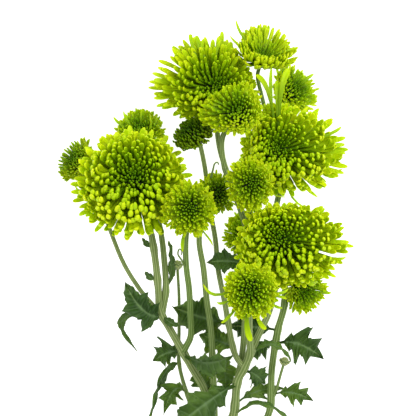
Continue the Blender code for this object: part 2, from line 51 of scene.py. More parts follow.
GOLDEN_ANGLE = math.radians(137.508)
UP = np.array((0.0, 0.0, 1.0))
BODY = "root"

# The photograph: its size in pixels, and a pixel's real size at the height where most blooms lie
PHOTO_PIXELS = 416
PIXEL = 0.68
MIDDLE_HEIGHT = 66.0
CAMERA_DISTANCE = 3.0

Bloom = namedtuple("Bloom", "name kind disc facing reach stem florets dark")
Form = namedtuple("Form", "disc_height profile core cup depart arrive lean width droop")
Stray = namedtuple("Stray", "bend tip height width")
Stem = namedtuple("Stem", "name radii points")
Leaf = namedtuple("Leaf", "name outline half_width base bend tip face fold tone")

# A bloom's reach is to the left, right, top and bottom, as seen from above, and dark runs from 0 to 1
BLOOMS = [Bloom(*row) for row in (
    ("left_large", "spoon", (-50, 164, 80), (0, 0.30, 0.95), (39, 36, 31, 39), "left", 480, 0.0),
    ("far_left", "button", (-94, 176, 16), (-0.55, 0.35, 0.75), (14, 14, 14, 13), "far_left", 320, 0.45),
    ("left_rear", "button", (-48, 198, 38), (-0.10, 0.55, 0.83), (16, 18, 15, 14), "left_rear", 300, 0.15),
    ("half_open", "closed", (-11, 194, 70), (-0.45, 0.50, 0.74), (14, 14, 12, 11), "half_open", 300, 1.0),
    ("top_large", "shaggy", (6, 226, 62), (0.10, 0.25, 0.96), (42, 28, 33, 24), "top_large", 430, 0.1),
    ("top_right", "goblet", (40, 253, 58), (0.20, 0.66, 0.72), (19, 19, 15, 15), "top_right", 260, 0.1),
    ("upper_middle", "button", (20, 209, 92), (0, 0.25, 0.97), (29, 17, 19, 16), "middle", 320, 0.15),
    ("right_rear", "button", (62, 225, 24), (0.50, 0.35, 0.79), (16, 15, 16, 15), "right_rear", 260, 0.1),
    ("right_large", "spoon", (48, 183, 64), (0.05, 0.25, 0.97), (24, 44, 30, 29), "right", 480, 0.0),
    ("middle_front", "button", (-12, 142, 104), (0, 0.05, 1), (19, 17, 18, 19), "middle_front", 340, 0.2),
    ("middle_rear", "button", (7, 152, 56), (0.10, 0.10, 0.99), (14, 14, 15, 14), "middle_rear", 220, 0.2),
    ("centre_front", "button", (30, 158, 102), (0.05, 0, 1), (18, 14, 18, 18), "centre_front", 320, 0.2),
    ("lower_large", "spoon", (49, 122, 78), (-0.05, 0.20, 0.98), (29, 45, 23, 33), "lower", 480, 0.0),
    ("lower_front", "button", (28, 86, 112), (0, -0.05, 1), (17, 20, 18, 19), "leader", 340, 0.1),
    ("lower_right", "button", (66, 84, 38), (0.25, -0.25, 0.94), (12, 16, 14, 15), "lower_right", 300, 0.1),
    ("centre_rear", "button", (26, 125, 34), (0, 0.30, 0.95), (15, 15, 16, 16), "centre_rear", 240, 0.1),
)]

# Where a bloom's cup stands, off the place that its disc gives
SHIFTS = {"top_right": (-2, -6, -4), "half_open": (-3, 2, 0)}

# Single long florets that stand out of a bloom: where each leaves its outline, its tip, height and width
STRAYS = {
    "left_large": (((-80, 149), (-91, 157), 62, 2.0), ((-67, 132), (-76, 136), 62, 2.0),
        ((-57, 135), (-60, 125), 60, 2.8), ((-50, 132), (-45, 127), 60, 2.2),
        ((-79, 169), (-88, 172), 66, 2.6), ((-76, 154), (-84, 151), 64, 2.4)),
    "left_rear": (((-54, 200), (-58, 208), 36, 1.8), ((-45, 200), (-45, 210), 36, 1.5),
        ((-40, 197), (-40, 206), 36, 1.8), ((-38, 195), (-35, 205), 34, 1.8),
        ((-60, 196), (-65, 204), 34, 2.0)),
    "middle_front": (((-14, 124), (-17, 112), 88, 2.4), ((-8, 124), (3, 116), 86, 1.4)),
    "lower_front": (((26, 68), (29, 52), 95, 4.0), ((35, 70), (39, 60), 95, 3.0),
        ((16, 69), (9, 64), 96, 2.2), ((8, 87), (-3, 90), 97, 2.2), ((45, 84), (54, 87), 97, 2.2),
        ((45, 80), (53, 80), 96, 2.0), ((43, 75), (50, 74), 95, 2.0), ((11, 77), (6, 78), 96, 2.0)),
    "lower_large": (((63, 90), (74, 91), 66, 4.4), ((83, 111), (93, 114), 62, 3.0),
        ((83, 107), (94, 108), 60, 2.6)),
    "lower_right": (((78, 82), (85, 83), 28, 2.2), ((60, 76), (58, 69), 28, 2.2)),
    "right_large": (((72, 165), (92, 168), 50, 2.4), ((69, 163), (81, 159), 49, 2.2),
        ((62, 158), (75, 149), 48, 2.4), ((57, 156), (71, 140), 47, 1.5), ((43, 152), (53, 149), 47, 1.8),
        ((43, 213), (43.5, 239), 62, 2.4), ((43, 219), (33, 232), 64, 3.4),
        ((48, 221), (55, 236), 62, 4.2), ((47, 214), (47, 228), 61, 3.2), ((84, 191), (91, 197), 54, 2.4)),
    "right_rear": (((50, 238), (57, 241), 22, 2.2), ((66, 228), (73, 234), 22, 2.4)),
    "top_large": (((-12, 247), (-12, 260), 56, 2.8), ((-8, 247), (-8, 259), 56, 2.8),
        ((-2, 247), (-3, 257), 56, 2.6), ((3, 246), (9, 256), 55, 2.4), ((-22, 217), (-36, 219), 50, 2.2),
        ((-22, 222), (-32, 227), 52, 2.6), ((-13, 208), (-21, 206), 48, 2.6)),
    "top_right": (((24, 259), (19, 270), 58, 2.0), ((22, 251), (15, 259), 56, 1.8),
        ((51, 248), (59, 251), 56, 1.8), ((50, 244), (58, 245), 54, 1.8)),
}

# Thin curled shoots, from root to tip
CURLS = (
    ((-16, 102, 58), (-18, 106, 61), (-20.5, 110, 62), (-19.5, 113.5, 63), (-17.8, 112, 63),
     (-18.2, 109.5, 62)),
    ((2, 162, 66), (3.5, 168, 68), (4.5, 171.5, 69), (6.5, 172.5, 69), (7.2, 171, 68)),
)

# Bloom forms, in shares of the mean reach and in degrees. The profile lists reach and height of floret tips
# from the middle outwards, core and cup list radii and heights. Depart and arrive are the angles, up from
# the disc's plane, at which florets leave and end, row by row. Lean is how much less they turn in at the
# bloom's top, and more at its bottom, and droop is how far the outermost tips sag.
FORMS = {
    "spoon": Form(
        disc_height=0.50,
        profile=((0.0, 0.44), (0.22, 0.52), (0.46, 0.66), (0.74, 0.56), (0.96, 0.20), (1.06, -0.14)),
        core=((0.27, 0.0), (0.38, 0.08), (0.36, 0.20), (0.24, 0.30), (0.0, 0.32)),
        cup=((0.10, -0.22), (0.27, 0.0)),
        depart=(88, 52, 24, 12, 2, -10),
        arrive=(92, 108, 122, 108, 66, 8),
        lean=24,
        width=(0.046, 0.058, 0.086, 0.114, 0.126, 0.104),
        droop=0.06,
    ),
    "button": Form(
        disc_height=0.80,
        profile=((0.0, 0.78), (0.30, 0.79), (0.60, 0.66), (0.86, 0.38), (1.0, 0.04), (1.0, -0.18)),
        core=((0.32, 0.0), (0.46, 0.12), (0.46, 0.30), (0.34, 0.46), (0.0, 0.52)),
        cup=((0.13, -0.26), (0.32, 0.0)),
        depart=(90, 58, 32, 14, -2, -20),
        arrive=(90, 94, 90, 74, 46, 4),
        lean=10,
        width=(0.080, 0.092, 0.108, 0.124, 0.132, 0.120),
        droop=0.03,
    ),
}
FORMS["shaggy"] = FORMS["spoon"]._replace(
    arrive=(92, 102, 106, 84, 46, 4),
    lean=34,
    width=(0.046, 0.058, 0.084, 0.112, 0.118, 0.104),
)
FORMS["closed"] = FORMS["button"]._replace(
    profile=((0.0, 0.80), (0.34, 0.80), (0.66, 0.68), (0.90, 0.44), (0.99, 0.20), (0.98, 0.04)),
    cup=((0.16, -0.34), (0.66, -0.06)),
    depart=(90, 50, 20, 0, -20, -40),
    arrive=(90, 100, 112, 118, 112, 104),
    width=(0.075, 0.085, 0.100, 0.115, 0.125, 0.120),
    droop=0.0,
)
FORMS["goblet"] = FORMS["spoon"]._replace(
    profile=((0.0, 0.48), (0.24, 0.54), (0.48, 0.70), (0.78, 0.96), (1.0, 0.80), (1.06, 0.44)),
    depart=(88, 70, 56, 46, 30, 12),
    arrive=(92, 98, 94, 82, 64, 44),
    width=(0.060, 0.075, 0.100, 0.130, 0.150, 0.130),
    droop=0.0,
)

# Stems: radii at the start and the end, and points on the centre line
STEMS = [Stem(*row) for row in (
    ("main", (4.6, 3.9), ((8, -135, 4.4), (8, -115, 4.4), (7, -92, 4.4), (6, -66, 6), (8, -40, 12))),
    ("leader", (3.4, 2.4), ((6, -66, 6), (8, -42, 11), (13, -18, 17), (18, 1, 22), (20, 21, 27),
        (25, 32, 31), (29, 43, 38), (28, 58, 56), (28, 74, 78))),
    ("lower", (2.5, 2.2), ((29, 41, 36), (34, 53, 40), (42, 71, 44), (47, 92, 46))),
    ("left", (3.0, 2.3), ((8, -58, 8), (3, -24, 13), (-1, 11, 20), (-12, 33, 28), (-26, 58, 36),
        (-33, 71, 40), (-34, 84, 42), (-36, 105, 46), (-40, 128, 48))),
    ("left_rear", (2.4, 1.8), ((-32, 68, 39), (-29, 84, 40), (-30, 105, 40), (-33, 128, 36),
        (-40, 158, 28))),
    ("far_left", (1.7, 1.4), ((-33, 70, 40), (-38, 75, 37), (-48, 87, 30), (-59, 105, 22), (-70, 132, 12),
        (-78, 152, 7))),
    ("middle_front", (2.3, 2.0), ((-17, 43, 32), (-12, 53, 36), (-12, 66, 40), (-13, 86, 47),
        (-15, 103, 56), (-15, 122, 70))),
    ("middle_rear", (2.6, 1.9), ((7, -50, 10), (5, -15, 15), (4, 14, 22), (3, 38, 30), (2, 58, 35),
        (-1, 79, 40), (-3, 99, 42), (-6, 122, 40), (2, 140, 38))),
    ("half_open", (2.1, 1.6), ((25, 32, 31), (20, 38, 33), (17, 46, 35), (14, 62, 36), (11, 79, 35),
        (7, 99, 33), (5, 120, 32), (1, 143, 32), (-2, 168, 42))),
    ("middle", (2.3, 1.9), ((20, 21, 27), (24, 45, 28), (26, 79, 32), (27, 100, 46), (26, 126, 54),
        (21, 143, 54), (11, 171, 56), (10, 190, 62))),
    ("top_large", (1.9, 1.9), ((12, 168, 56), (8, 182, 50), (6, 196, 40), (5, 208, 34))),
    ("centre_front", (1.8, 1.7), ((26, 124, 54), (28, 138, 60), (30, 150, 72))),
    ("centre_rear", (1.7, 1.5), ((26, 77, 32), (28, 92, 22), (28, 106, 14))),
    ("right", (2.7, 2.1), ((7, -66, 5.5), (22, -36, 9), (36, -12, 11), (43, 3, 12), (44, 29, 15),
        (48, 56, 19), (53, 78, 21), (51, 112, 24), (47, 139, 26), (50, 158, 28))),
    ("lower_right", (1.6, 1.5), ((53, 76, 21), (58, 82, 19), (61, 87, 20))),
    ("right_rear", (1.6, 1.4), ((48, 136, 26), (48, 160, 16), (50, 190, 8), (53, 208, 7))),
    ("top_right", (1.6, 1.4), ((47, 158, 17), (44, 188, 20), (38, 214, 32), (34, 230, 44))),
    ("bud_left", (1.6, 1.0), ((2, -24, 13), (-8, -5, 10), (-15, 14, 10), (-20, 34, 13), (-20, 58, 18),
        (-20, 80, 23), (-21, 99, 28))),
    ("bud_right", (1.2, 0.9), ((43, 6, 12), (47, 15, 15), (50, 26, 19), (52, 33, 22))),
)]
STEM_RIBS = 9
STEM_SIDES = 36
STEM_STEP = 2.5
RIB_DEPTH = 0.07
STEM_FIT = 0.90
# The slope of the main stem's cut end
END_SLANT = 0.30
# A stem is thicker by this share where another stem or a leaf leaves it, and over this length
NODE_SWELL = 0.22
NODE_LENGTH = 3.2

# A stem ends this far inside its bloom's cup, after a straight run, a share of the mean reach
CUP_OVERLAP = 0.5
CUP_RUN = 0.30
CUP_SIDES = 24
CUP_RINGS = 6
# The share of its form's width that a cup's foot has
CUP_FOOT = 0.7
# Rows of bracts on a cup: how many, how far up its side, and how large
CUP_BRACTS = ((12, 0.10, 0.26), (16, 0.40, 0.34), (18, 0.70, 0.38))
BRACT_SCATTER = 0.05
BRACT_SIZES = (0.9, 1.1)

# A bract in shares of its size: how far out, how high and half as wide at places along it, its columns from
# edge to edge, and how far its edges curl back
BRACT_OUTLINE = ((0.108, 0.0, 0.165), (0.28125, 0.26775, 0.30), (0.4545, 0.5355, 0.255),
                 (0.5634, 0.7038, 0.12), (0.603, 0.765, 0.024))
BRACT_COLUMNS = (-1, -0.5, 0, 0.5, 1)
BRACT_CURL = 0.08
BRACT_THICKNESS = 0.25

# Buds: the stem that carries each, and its radius
BUDS = {"bud_left": ("bud_left", 3.4), "bud_right": ("bud_right", 3.0)}
# In shares of its radius: a bud's middle, above the end of its stem, and half its height
BUD_MIDDLE = 0.95
BUD_HALF_HEIGHT = 0.88
# The angles from a bud's top at which its rings lie, and how far its florets spread
BUD_POLARS = np.linspace(math.pi * 0.97 + 0.02, 0.02, 12)
BUD_FLORETS = 46
BUD_SPREAD = 1.15
# Height and distance of a floret's root and tip, and its width
BUD_ROOT = (0.9, 0.75)
BUD_TIP = 0.95
BUD_ENDS = (1.0, 1.1)
BUD_WIDTH = 0.26
# Bracts: how many and how far up, their size, and the size and height of the cup that they would sit on
BUD_BRACTS = ((8, 0.1), (9, 0.45))
BUD_BRACT_SIZE = 0.40
BUD_CUP_SIZE = 3.0
BUD_CUP_HEIGHT = 0.75

# Leaf outlines, base to tip: where a side rib leaves the midrib, how far along it ends, and how far out
OUTLINES = {
    "lobed": ((0.00, 0.00, 0.06), (0.16, 0.16, 0.07), (0.24, 0.30, 0.42), (0.33, 0.34, 0.30),
        (0.42, 0.62, 1.00), (0.50, 0.60, 0.66), (0.58, 0.60, 0.38), (0.68, 0.80, 0.66), (0.80, 0.81, 0.28),
        (1.00, 1.00, 0.00)),
    "broad": ((0.00, 0.00, 0.10), (0.06, 0.10, 0.40), (0.14, 0.24, 1.00), (0.26, 0.32, 0.50),
        (0.38, 0.48, 0.60), (0.50, 0.66, 0.90), (0.62, 0.70, 0.44), (0.78, 0.86, 0.34), (1.00, 1.00, 0.00)),
    "toothed": ((0.00, 0.00, 0.10), (0.14, 0.14, 0.12), (0.26, 0.32, 0.62), (0.38, 0.41, 0.50),
        (0.50, 0.60, 1.00), (0.62, 0.66, 0.66), (0.74, 0.80, 0.70), (0.86, 0.86, 0.30), (1.00, 1.00, 0.00)),
    "narrow": ((0.00, 0.00, 0.14), (0.24, 0.26, 0.80), (0.50, 0.56, 1.00), (0.70, 0.70, 0.55),
        (0.86, 0.88, 0.50), (1.00, 1.00, 0.00)),
}

# Leaves: base, bend and tip of the midrib, the way the blade faces, its fold, and its tone, dark to bright
LEAVES = [Leaf(*row) for row in (
    ("left_lobed", "broad", 12.5, (-34, 67, 42), (-47, 68, 49), (-57, 91, 43), (0.1, -0.3, 1), 0.25, 0.0),
    ("left_drooping", "narrow", 3.0, (-34, 70, 40), (-76, 72, 37), (-49, 43, 20), (0.2, 0.5, 0.8), 0.2, 0.3),
    ("left_inner", "toothed", 15, (14, 63, 36), (0, 63, 20), (-25, 74, 31), (0, -0.1, 1), 0.1, 0.3),
    ("left_low", "lobed", 12.5, (-15, 41, 30), (-24, 46, 26), (-38, 36, 20), (0.3, 0.2, 0.9), 0.3, 0.1),
    ("folded_front", "toothed", 10.5, (-16, 42, 31), (-4, 30, 46), (17, 41, 47), (0, -0.5, 0.85), 0.5, 0.3),
    ("long_drooping", "narrow", 5, (-20, 34, 13), (-34, 34, 14), (-41, -8, 2.5), (0.9, 0.3, 0.5), 0.2, 0.3),
    ("bottom_left", "lobed", 10.5, (-14, 12, 10), (-24, 26, 9), (-31, -2, 4), (0.2, 0, 1), 0.2, 0.8),
    ("bottom_large", "toothed", 14, (20, 21, 27), (4, 13, 38), (-26, -12, 32), (0.1, -0.2, 1), 0.25, 0.3),
    ("behind_left", "broad", 12.5, (17, 46, 35), (8, 50, 27), (-6, 54, 20), (0, 0.1, 1), 0.2, 0.9),
    ("behind_right", "lobed", 12.5, (48, 57, 19), (36, 60, 20), (12, 60, 18), (0, 0, 1), 0.15, 0.1),
    ("right_lobed", "lobed", 16, (46, 47, 18), (60, 54, 24), (80, 37, 19), (0, 0, 1), 0.2, 0.1),
    ("right_inner", "lobed", 9, (47, 51, 18), (40, 48, 13), (26, 37, 12), (0, 0, 1), 0.1, 0.1),
    ("right_arching", "narrow", 4.5, (29, 42, 37), (46, 56, 46), (57, 36, 33), (0.3, 0.8, 0.5), 0.2, 0.6),
    ("lower_right", "lobed", 10, (44, 12, 13), (56, 18, 20), (73, 8, 14), (0.1, -0.1, 1), 0.2, 0.5),
    ("lower_rear", "lobed", 8, (18, 5, 23), (32, 18, 4), (54, 16, 3), (0, 0.1, 1), 0.1, 0.6),
    ("bottom_arching", "narrow", 4.5, (17, -4, 21), (34, 18, 36), (57, -6, 26), (0.1, 0.9, 0.4), 0.2, 0.6),
    ("leader_right", "toothed", 9, (24, 29, 30), (32, 30, 29), (39, 20, 20), (0, 0, 1), 0.2, 0.1),
    ("behind_blooms", "toothed", 9, (27, 102, 46), (16, 107, 43), (-1, 104, 42), (0, 0, 1), 0.2, 0.1),
    ("upright_left", "narrow", 4.5, (-29, 84, 40), (-23, 96, 38), (-27, 119, 35), (0.8, 0, 0.5), 0.2, 0.2),
    ("bract_upper", "narrow", 2.2, (-38, 114, 47), (-42, 116, 48), (-45, 121, 49), (0, 0, 1), 0.1, 0.2),
    ("bract_lower", "narrow", 2.6, (-35, 92, 44), (-40, 93, 45), (-43, 98, 46), (0, 0, 1), 0.1, 0.2),
    ("node_left", "narrow", 3.2, (-31, 68, 39), (-27, 62, 46), (-20, 61, 43), (0, 0.3, 1), 0.2, 0.3),
    ("centre_rear", "toothed", 9, (4, 39, 30), (14, 35, 17), (12, 14, 8), (0, 0, 1), 0.2, 0.9),
    ("centre_low", "toothed", 9, (3, 15, 20), (-3, 21, 12), (-10, 29, 8), (0, 0, 1), 0.2, 0.4),
)]
LEAF_THICKNESS = 0.45
LEAF_STATIONS = 72
LEAF_ACROSS = 8
# How much thinner the edge is, how much thicker the midrib, in layers 1 and -1, and how narrow it is
EDGE_THINNING = 0.5
RIB_HEIGHTS = {1: 0.2, -1: 0.9}
RIB_NARROWNESS = 8
GROOVE_DEPTH = 0.25
GROOVE_NARROWNESS = 9
# Teeth along each side: number, depth, slant, and how soon they reach their full depth
TEETH = 11
LEAF_TEETH = 0.16
TOOTH_SLANT = 1.5
TOOTH_MIDDLE = 0.4
TOOTH_GROWTH = 4
# Raised panels between ribs, and waves along the edge, in shares of half the width
LEAF_PANEL = 0.15
LEAF_WAVE = 0.16
WAVES = 21
WAVE_SHIFT = 0.5
# The least reach of the edge at the tip, and how much more at the base
TIP_REACH = 0.25
BASE_REACH = 0.45
# How narrow the pale midrib is, and how pale the side ribs
VEIN_NARROWNESS = 10
SIDE_RIB_TONE = 0.8
# A leaf starts this deep inside its stem, which is found in steps along its midrib
LEAF_SUNK = 0.3
LATEST_START = 0.6
START_STEP = 0.01
MIDRIB_STEP = 0.02


def placed(point):
    """A point of the tables, in metres from the frame's origin."""
    return Vector((point[0] - MIDDLE_X, point[1] - MIDDLE_Y, point[2])) * MM


def bell(x):
    """Falls smoothly from 1 at 0 to almost nothing at 2."""
    return math.exp(-(x**2))


def outward(angle):
    """The direction out from a bloom's middle, at an angle round its facing."""
    return np.array((math.cos(angle), math.sin(angle), 0.0))


def smooth_path(points, step):
    """Points a step apart along a smooth curve through the given points."""
    ends = [points[0] * 2 - points[1], *points, points[-1] * 2 - points[-2]]
    path = [points[0].copy()]
    for before, start, end, after in zip(ends, ends[1:], ends[2:], ends[3:]):
        pieces = max(1, round((end - start).length / step))
        for piece in range(1, pieces + 1):
            t = piece / pieces
            path.append(0.5 * (2 * start + (end - before) * t
                               + (2 * before - 5 * start + 4 * end - after) * t**2
                               + (3 * start - before - 3 * end + after) * t**3))
    return path


def mean_reach(bloom):
    """The mean of a bloom's four reaches, in metres."""
    return sum(bloom.reach) / len(bloom.reach) * MM


def bloom_base(bloom):
    """Where the bloom sits on its cup, and the direction it faces."""
    facing = Vector(bloom.facing).normalized()
    shift = Vector(SHIFTS.get(bloom.name, (0, 0, 0))) * MM
    return placed(bloom.disc) + shift - facing * FORMS[bloom.kind].disc_height * mean_reach(bloom), facing


def stem_path(stem):
    """A stem's centre line. A stem that carries a bloom goes on to the bloom's cup, along its facing."""
    points = [placed(point) for point in stem.points]
    for bloom in BLOOMS:
        if bloom.stem == stem.name:
            base, facing = bloom_base(bloom)
            foot_height = FORMS[bloom.kind].cup[0][1] * mean_reach(bloom)
            cup_foot = base + facing * (foot_height + CUP_OVERLAP * MM)
            points += [cup_foot - facing * CUP_RUN * mean_reach(bloom), cup_foot]
    return smooth_path(points, STEM_STEP * MM)


class Axes:
    """A bloom's or bud's own axes: right, up the spray and out along its facing, and its size in metres."""

    def __init__(self, origin, facing, size):
        right = (Vector((1, 0, 0)) - facing * facing.x).normalized()
        self.origin = np.array(origin)
        self.turn = np.array((right, facing.cross(right), facing)).T
        self.size = size

    def turned(self, points):
        """Offsets along these axes, along the frame's."""
        return points @ self.turn.T

    def to_frame(self, points):
        """Points in shares of the size, in the frame."""
        return self.origin + self.turned(points * self.size)


class Shape:
    """Points and faces of one piece, with three marks at each point that its material reads."""

    def __init__(self):
        self.points = []
        self.faces = []
        self.marks = []
        self.count = 0

    def add(self, points, faces, marks):
        points = np.asarray(points, dtype=float).reshape(-1, 3)
        self.points.append(points)
        self.marks.append(np.asarray(marks, dtype=float).reshape(-1, 3))
        self.faces += [tuple(corner + self.count for corner in face) for face in faces]
        self.count += len(points)

    def finish(self, node, look, slot):
        """Makes the piece that takes the node's place."""
        mesh = bpy.data.meshes.new("fine_" + node)
        mesh.from_pydata(np.concatenate(self.points).tolist(), [], self.faces)
        marks = np.concatenate(self.marks)
        layer = mesh.attributes.new("marks", "FLOAT_COLOR", "POINT")
        layer.data.foreach_set("color", np.hstack([marks, np.ones((len(marks), 1))]).ravel())
        mesh.materials.append(look)
        mesh.validate()
        mesh.shade_smooth()
        piece = bpy.data.objects.new("fine_" + node, mesh)
        bpy.context.scene.collection.objects.link(piece)
        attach(piece, BODY)
        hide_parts(node)


def grid_faces(rows, columns, closed):
    """Faces of a grid of vertices, row after row. A closed grid joins its last column to its first."""
    steps = [(column, (column + 1) % columns) for column in range(columns if closed else columns - 1)]
    return [(low + column, low + after, low + columns + after, low + columns + column)
            for low in range(0, (rows - 1) * columns, columns) for column, after in steps]


def sheet_faces(rows, columns):
    """Faces of a thin sheet: a grid, a second one under it, and a rim that joins their edges."""
    count = rows * columns
    top = grid_faces(rows, columns, False)
    under = [tuple(corner + count for corner in face[::-1]) for face in top]
    border = [*range(columns), *[columns * row + columns - 1 for row in range(1, rows)],
              *range(count - 2, count - columns - 1, -1), *[columns * row for row in range(rows - 2, 0, -1)]]
    rim = [(start + count, end + count, end, start) for start, end in zip(border, border[1:] + border[:1])]
    return top + under + rim


def add_rings(shape, rings, marks, capped=True):
    """A round body through rings of corners, closed at its start and, where capped, at its end."""
    sides = len(rings[0])
    faces = grid_faces(len(rings), sides, True)
    faces.append(tuple(reversed(range(sides))))
    if capped:
        faces.append(tuple(range((len(rings) - 1) * sides, len(rings) * sides)))
    points = np.concatenate(rings)
    shape.add(points, faces, np.broadcast_to(marks, points.shape))


def add_lathed(shape, profile, axes, sides, mark, capped=True):
    """A round body through a profile of radii and heights, in a bloom's own axes."""
    angles = np.arange(sides) / sides * math.tau
    rings = []
    for radius, height in profile:
        ring = np.stack([np.cos(angles) * radius, np.sin(angles) * radius, np.full(sides, height)], axis=1)
        rings.append(axes.to_frame(ring))
    add_rings(shape, rings, mark, capped)


# Blooms
# A tilted bloom's own reach stays between these shares of the reach seen from above
LEAST_REACH = 0.55
MOST_REACH = 1.5

# Blooms nearer than this share of their reaches meet at a plane between their middles, and overlap there. A
# middle lies this far above the base, as a share of the mean reach.
MEETING_REACH = 1.1
BLOOM_MIDDLE = 0.25
BLOOM_OVERLAP = 1.5
GROUND_ROOM = 0.2

# A floret's rings, how wide it is at each, and how far each has opened from a tube to a spoon
FLORET_PLACES = np.array((0.0, 0.26, 0.48, 0.66, 0.79, 0.89, 0.96, 1.0))
FLORET_SWELL = np.array((0.62, 0.64, 0.74, 0.90, 0.98, 0.98, 0.82, 0.46))
FLORET_OPENING = np.array((0.0, 0.0, 0.15, 0.45, 0.8, 1.0, 1.0, 0.9))
# Corners of its section: across, and towards its back, which faces away from the bloom's middle
TUBE = np.array(((0.80, -0.46), (0.70, 0.60), (0.0, 0.92), (-0.70, 0.60), (-0.80, -0.46), (-0.46, -0.80),
                 (0.0, -0.92), (0.46, -0.80)))
SPOON = np.array(((1.0, -0.50), (0.74, 0.26), (0.0, 0.58), (-0.74, 0.26), (-1.0, -0.50), (-0.52, -0.06),
                  (0.0, 0.16), (0.52, -0.06)))
# The step for the direction at a ring, and how far the tip stands ahead and towards the back
TANGENT_STEP = 0.03
TIP_AHEAD = 0.30
TIP_BACK = 0.11

# Florets stand in a spiral, in rows t from 0 in the middle to 1 outside. A crowding of 0.5 spreads them
# evenly, more draws them to the middle. FURTHEST is the share of the bloom's reach that no tip passes.
CROWDING = 0.66
FURTHEST = 1.11
# How the draw scatters them: angles round the bloom, rows, lengths, tip heights, angles in degrees at root
# and tip, the bend to the side and the roll
TURN_SCATTER = 0.07
TURN_SCATTER_GAIN = 0.06
ROW_SCATTER = 0.015
STRETCH_MEAN = -0.01
STRETCH_SCATTER = 0.07
HEIGHT_SCATTER = 0.022
DEPART_SCATTER = 4
ARRIVE_SCATTER = 8
SIDE_SCATTER = 0.03
ROLL_SCATTER = 0.22
LONG_ROWS = 0.80
LONG_CHANCE = 0.14
LONG_EXTRA = (0.04, 0.16)
# Roots spread over a share of the core's radius, and lie lower on it towards the outside
ROOT_SPREAD = 0.6
ROOT_HEIGHT = 0.9
ROOT_FALL = 0.75
# How far the curve's middle points lie from its ends, in shares of its length
BEND_PULL = 0.5
HOOK_PULL = 0.42
SAG_AT_HOOK = 0.4
# A floret that a neighbour cuts shorter than this share is left out
LEAST_SHARE = 0.3
WIDTHS = (0.86, 1.12)
# How far florets open, in the middle and more outwards, and what the draw leaves of it
OPENING_MIDDLE = 0.35
OPENING_GROWTH = 0.75
OPENINGS = (0.7, 1.0)

# Strays start near the bloom's base, bend at its outline and hang lower at their tip
STRAY_SWELL = np.array((0.45, 0.62, 0.84, 1.00, 0.96, 0.74, 0.46, 0.20))
# A stray at least this wide ends as round as the other florets
BROAD_STRAY = 2.8
STRAY_ROOT = 0.12
STRAY_FALL = 4
STRAY_PULL = 0.75
STRAY_ONWARD = 0.35
STRAY_CURL = 0.42
STRAY_BREADTH = 1.1
STRAY_CHANCES = (0.1, 0.8)


def spread(values, t):
    """A value read from a list that is spread evenly over t from 0 to 1."""
    place = min(max(t, 0.0), 1.0) * (len(values) - 1)
    index = min(int(place), len(values) - 2)
    low = np.asarray(values[index], dtype=float)
    high = np.asarray(values[index + 1], dtype=float)
    return low + (high - low) * (place - index)


def own_reach(bloom):
    """Reaches along the bloom's own axes in metres, longer where its tilt foreshortens them."""
    if bloom.kind == "closed":
        return [seen * MM for seen in bloom.reach]
    facing = Vector(bloom.facing).normalized()
    level = math.hypot(facing.y, facing.z)
    steep = facing.z / level
    back = facing * FORMS[bloom.kind].disc_height * mean_reach(bloom) / MM
    left, right, up, down = bloom.reach
    wanted = ((left - back.x) / level, (right + back.x) / level, (up + back.y) / steep,
              (down - back.y) / steep)
    return [min(max(own, LEAST_REACH * seen), MOST_REACH * seen) * MM
            for own, seen in zip(wanted, bloom.reach)]


def directed_reach(bloom, angle):
    """The bloom's reach in metres at an angle round its facing."""
    left, right, up, down = own_reach(bloom)
    across = right if math.cos(angle) > 0 else left
    upright = up if math.sin(angle) > 0 else down
    return 1 / math.hypot(math.cos(angle) / across, math.sin(angle) / upright)


def bloom_middle(bloom):
    """The middle of a bloom's florets."""
    base, facing = bloom_base(bloom)
    return base + facing * BLOOM_MIDDLE * mean_reach(bloom)


def cell_planes(bloom):
    """Planes between this bloom and each neighbour, and the surface that the spray lies on."""
    middle = bloom_middle(bloom)
    planes = [(Vector((0, 0, -1)), -GROUND_ROOM * MM)]
    for other in BLOOMS:
        if other is bloom:
            continue
        apart = bloom_middle(other) - middle
        if apart.length < (max(bloom.reach) + max(other.reach)) * MEETING_REACH * MM:
            share = mean_reach(bloom) / (mean_reach(bloom) + mean_reach(other))
            normal = apart.normalized()
            planes.append((normal, normal.dot(middle) + apart.length * share + BLOOM_OVERLAP * MM))
    return planes


def bezier(points, s):
    """Points of a curve through its first and last point, at places s from 0 to 1."""
    s = s[:, None]
    p0, p1, p2, p3 = points
    return p0 * (1 - s) ** 3 + p1 * 3 * s * (1 - s) ** 2 + p2 * 3 * s**2 * (1 - s) + p3 * s**3


def add_floret(shape, points, side, width, opening, t, chance, swell=FLORET_SWELL):
    """One floret: a tube along a curve that opens into a rounded, hooded spoon."""
    centres = bezier(points, FLORET_PLACES)
    further = np.minimum(FLORET_PLACES + TANGENT_STEP, 1.0)
    nearer = np.maximum(FLORET_PLACES - TANGENT_STEP, 0)
    ahead = bezier(points, further) - bezier(points, nearer)
    along = ahead / np.linalg.norm(ahead, axis=1)[:, None]
    across = side - along * (along @ side)[:, None]
    across /= np.linalg.norm(across, axis=1)[:, None]
    back = np.cross(across, along)
    opened = (FLORET_OPENING * opening)[:, None, None]
    section = TUBE * (1 - opened) + SPOON * opened
    half = (width / 2 * swell)[:, None, None]
    rings = half * (section[:, :, :1] * across[:, None, :] + section[:, :, 1:] * back[:, None, :])
    rings += centres[:, None, :]
    tip = centres[-1] + (along[-1] * TIP_AHEAD + back[-1] * TIP_BACK) * width * swell[-1]
    rows = len(FLORET_PLACES)
    columns = len(TUBE)
    last = (rows - 1) * columns
    faces = [face[::-1] for face in grid_faces(rows, columns, True)]
    faces += [(last + (column + 1) % columns, last + column, rows * columns) for column in range(columns)]
    marks = np.empty((rows * columns + 1, 3))
    marks[:-1, 0] = np.repeat(FLORET_PLACES, columns)
    marks[-1, 0] = 1.0
    # The row also sets how much painted shade of the bloom's middle the floret takes.
    marks[:, 1] = t
    marks[:, 2] = chance
    shape.add(np.vstack([rings.reshape(-1, 3), tip]), faces, marks)


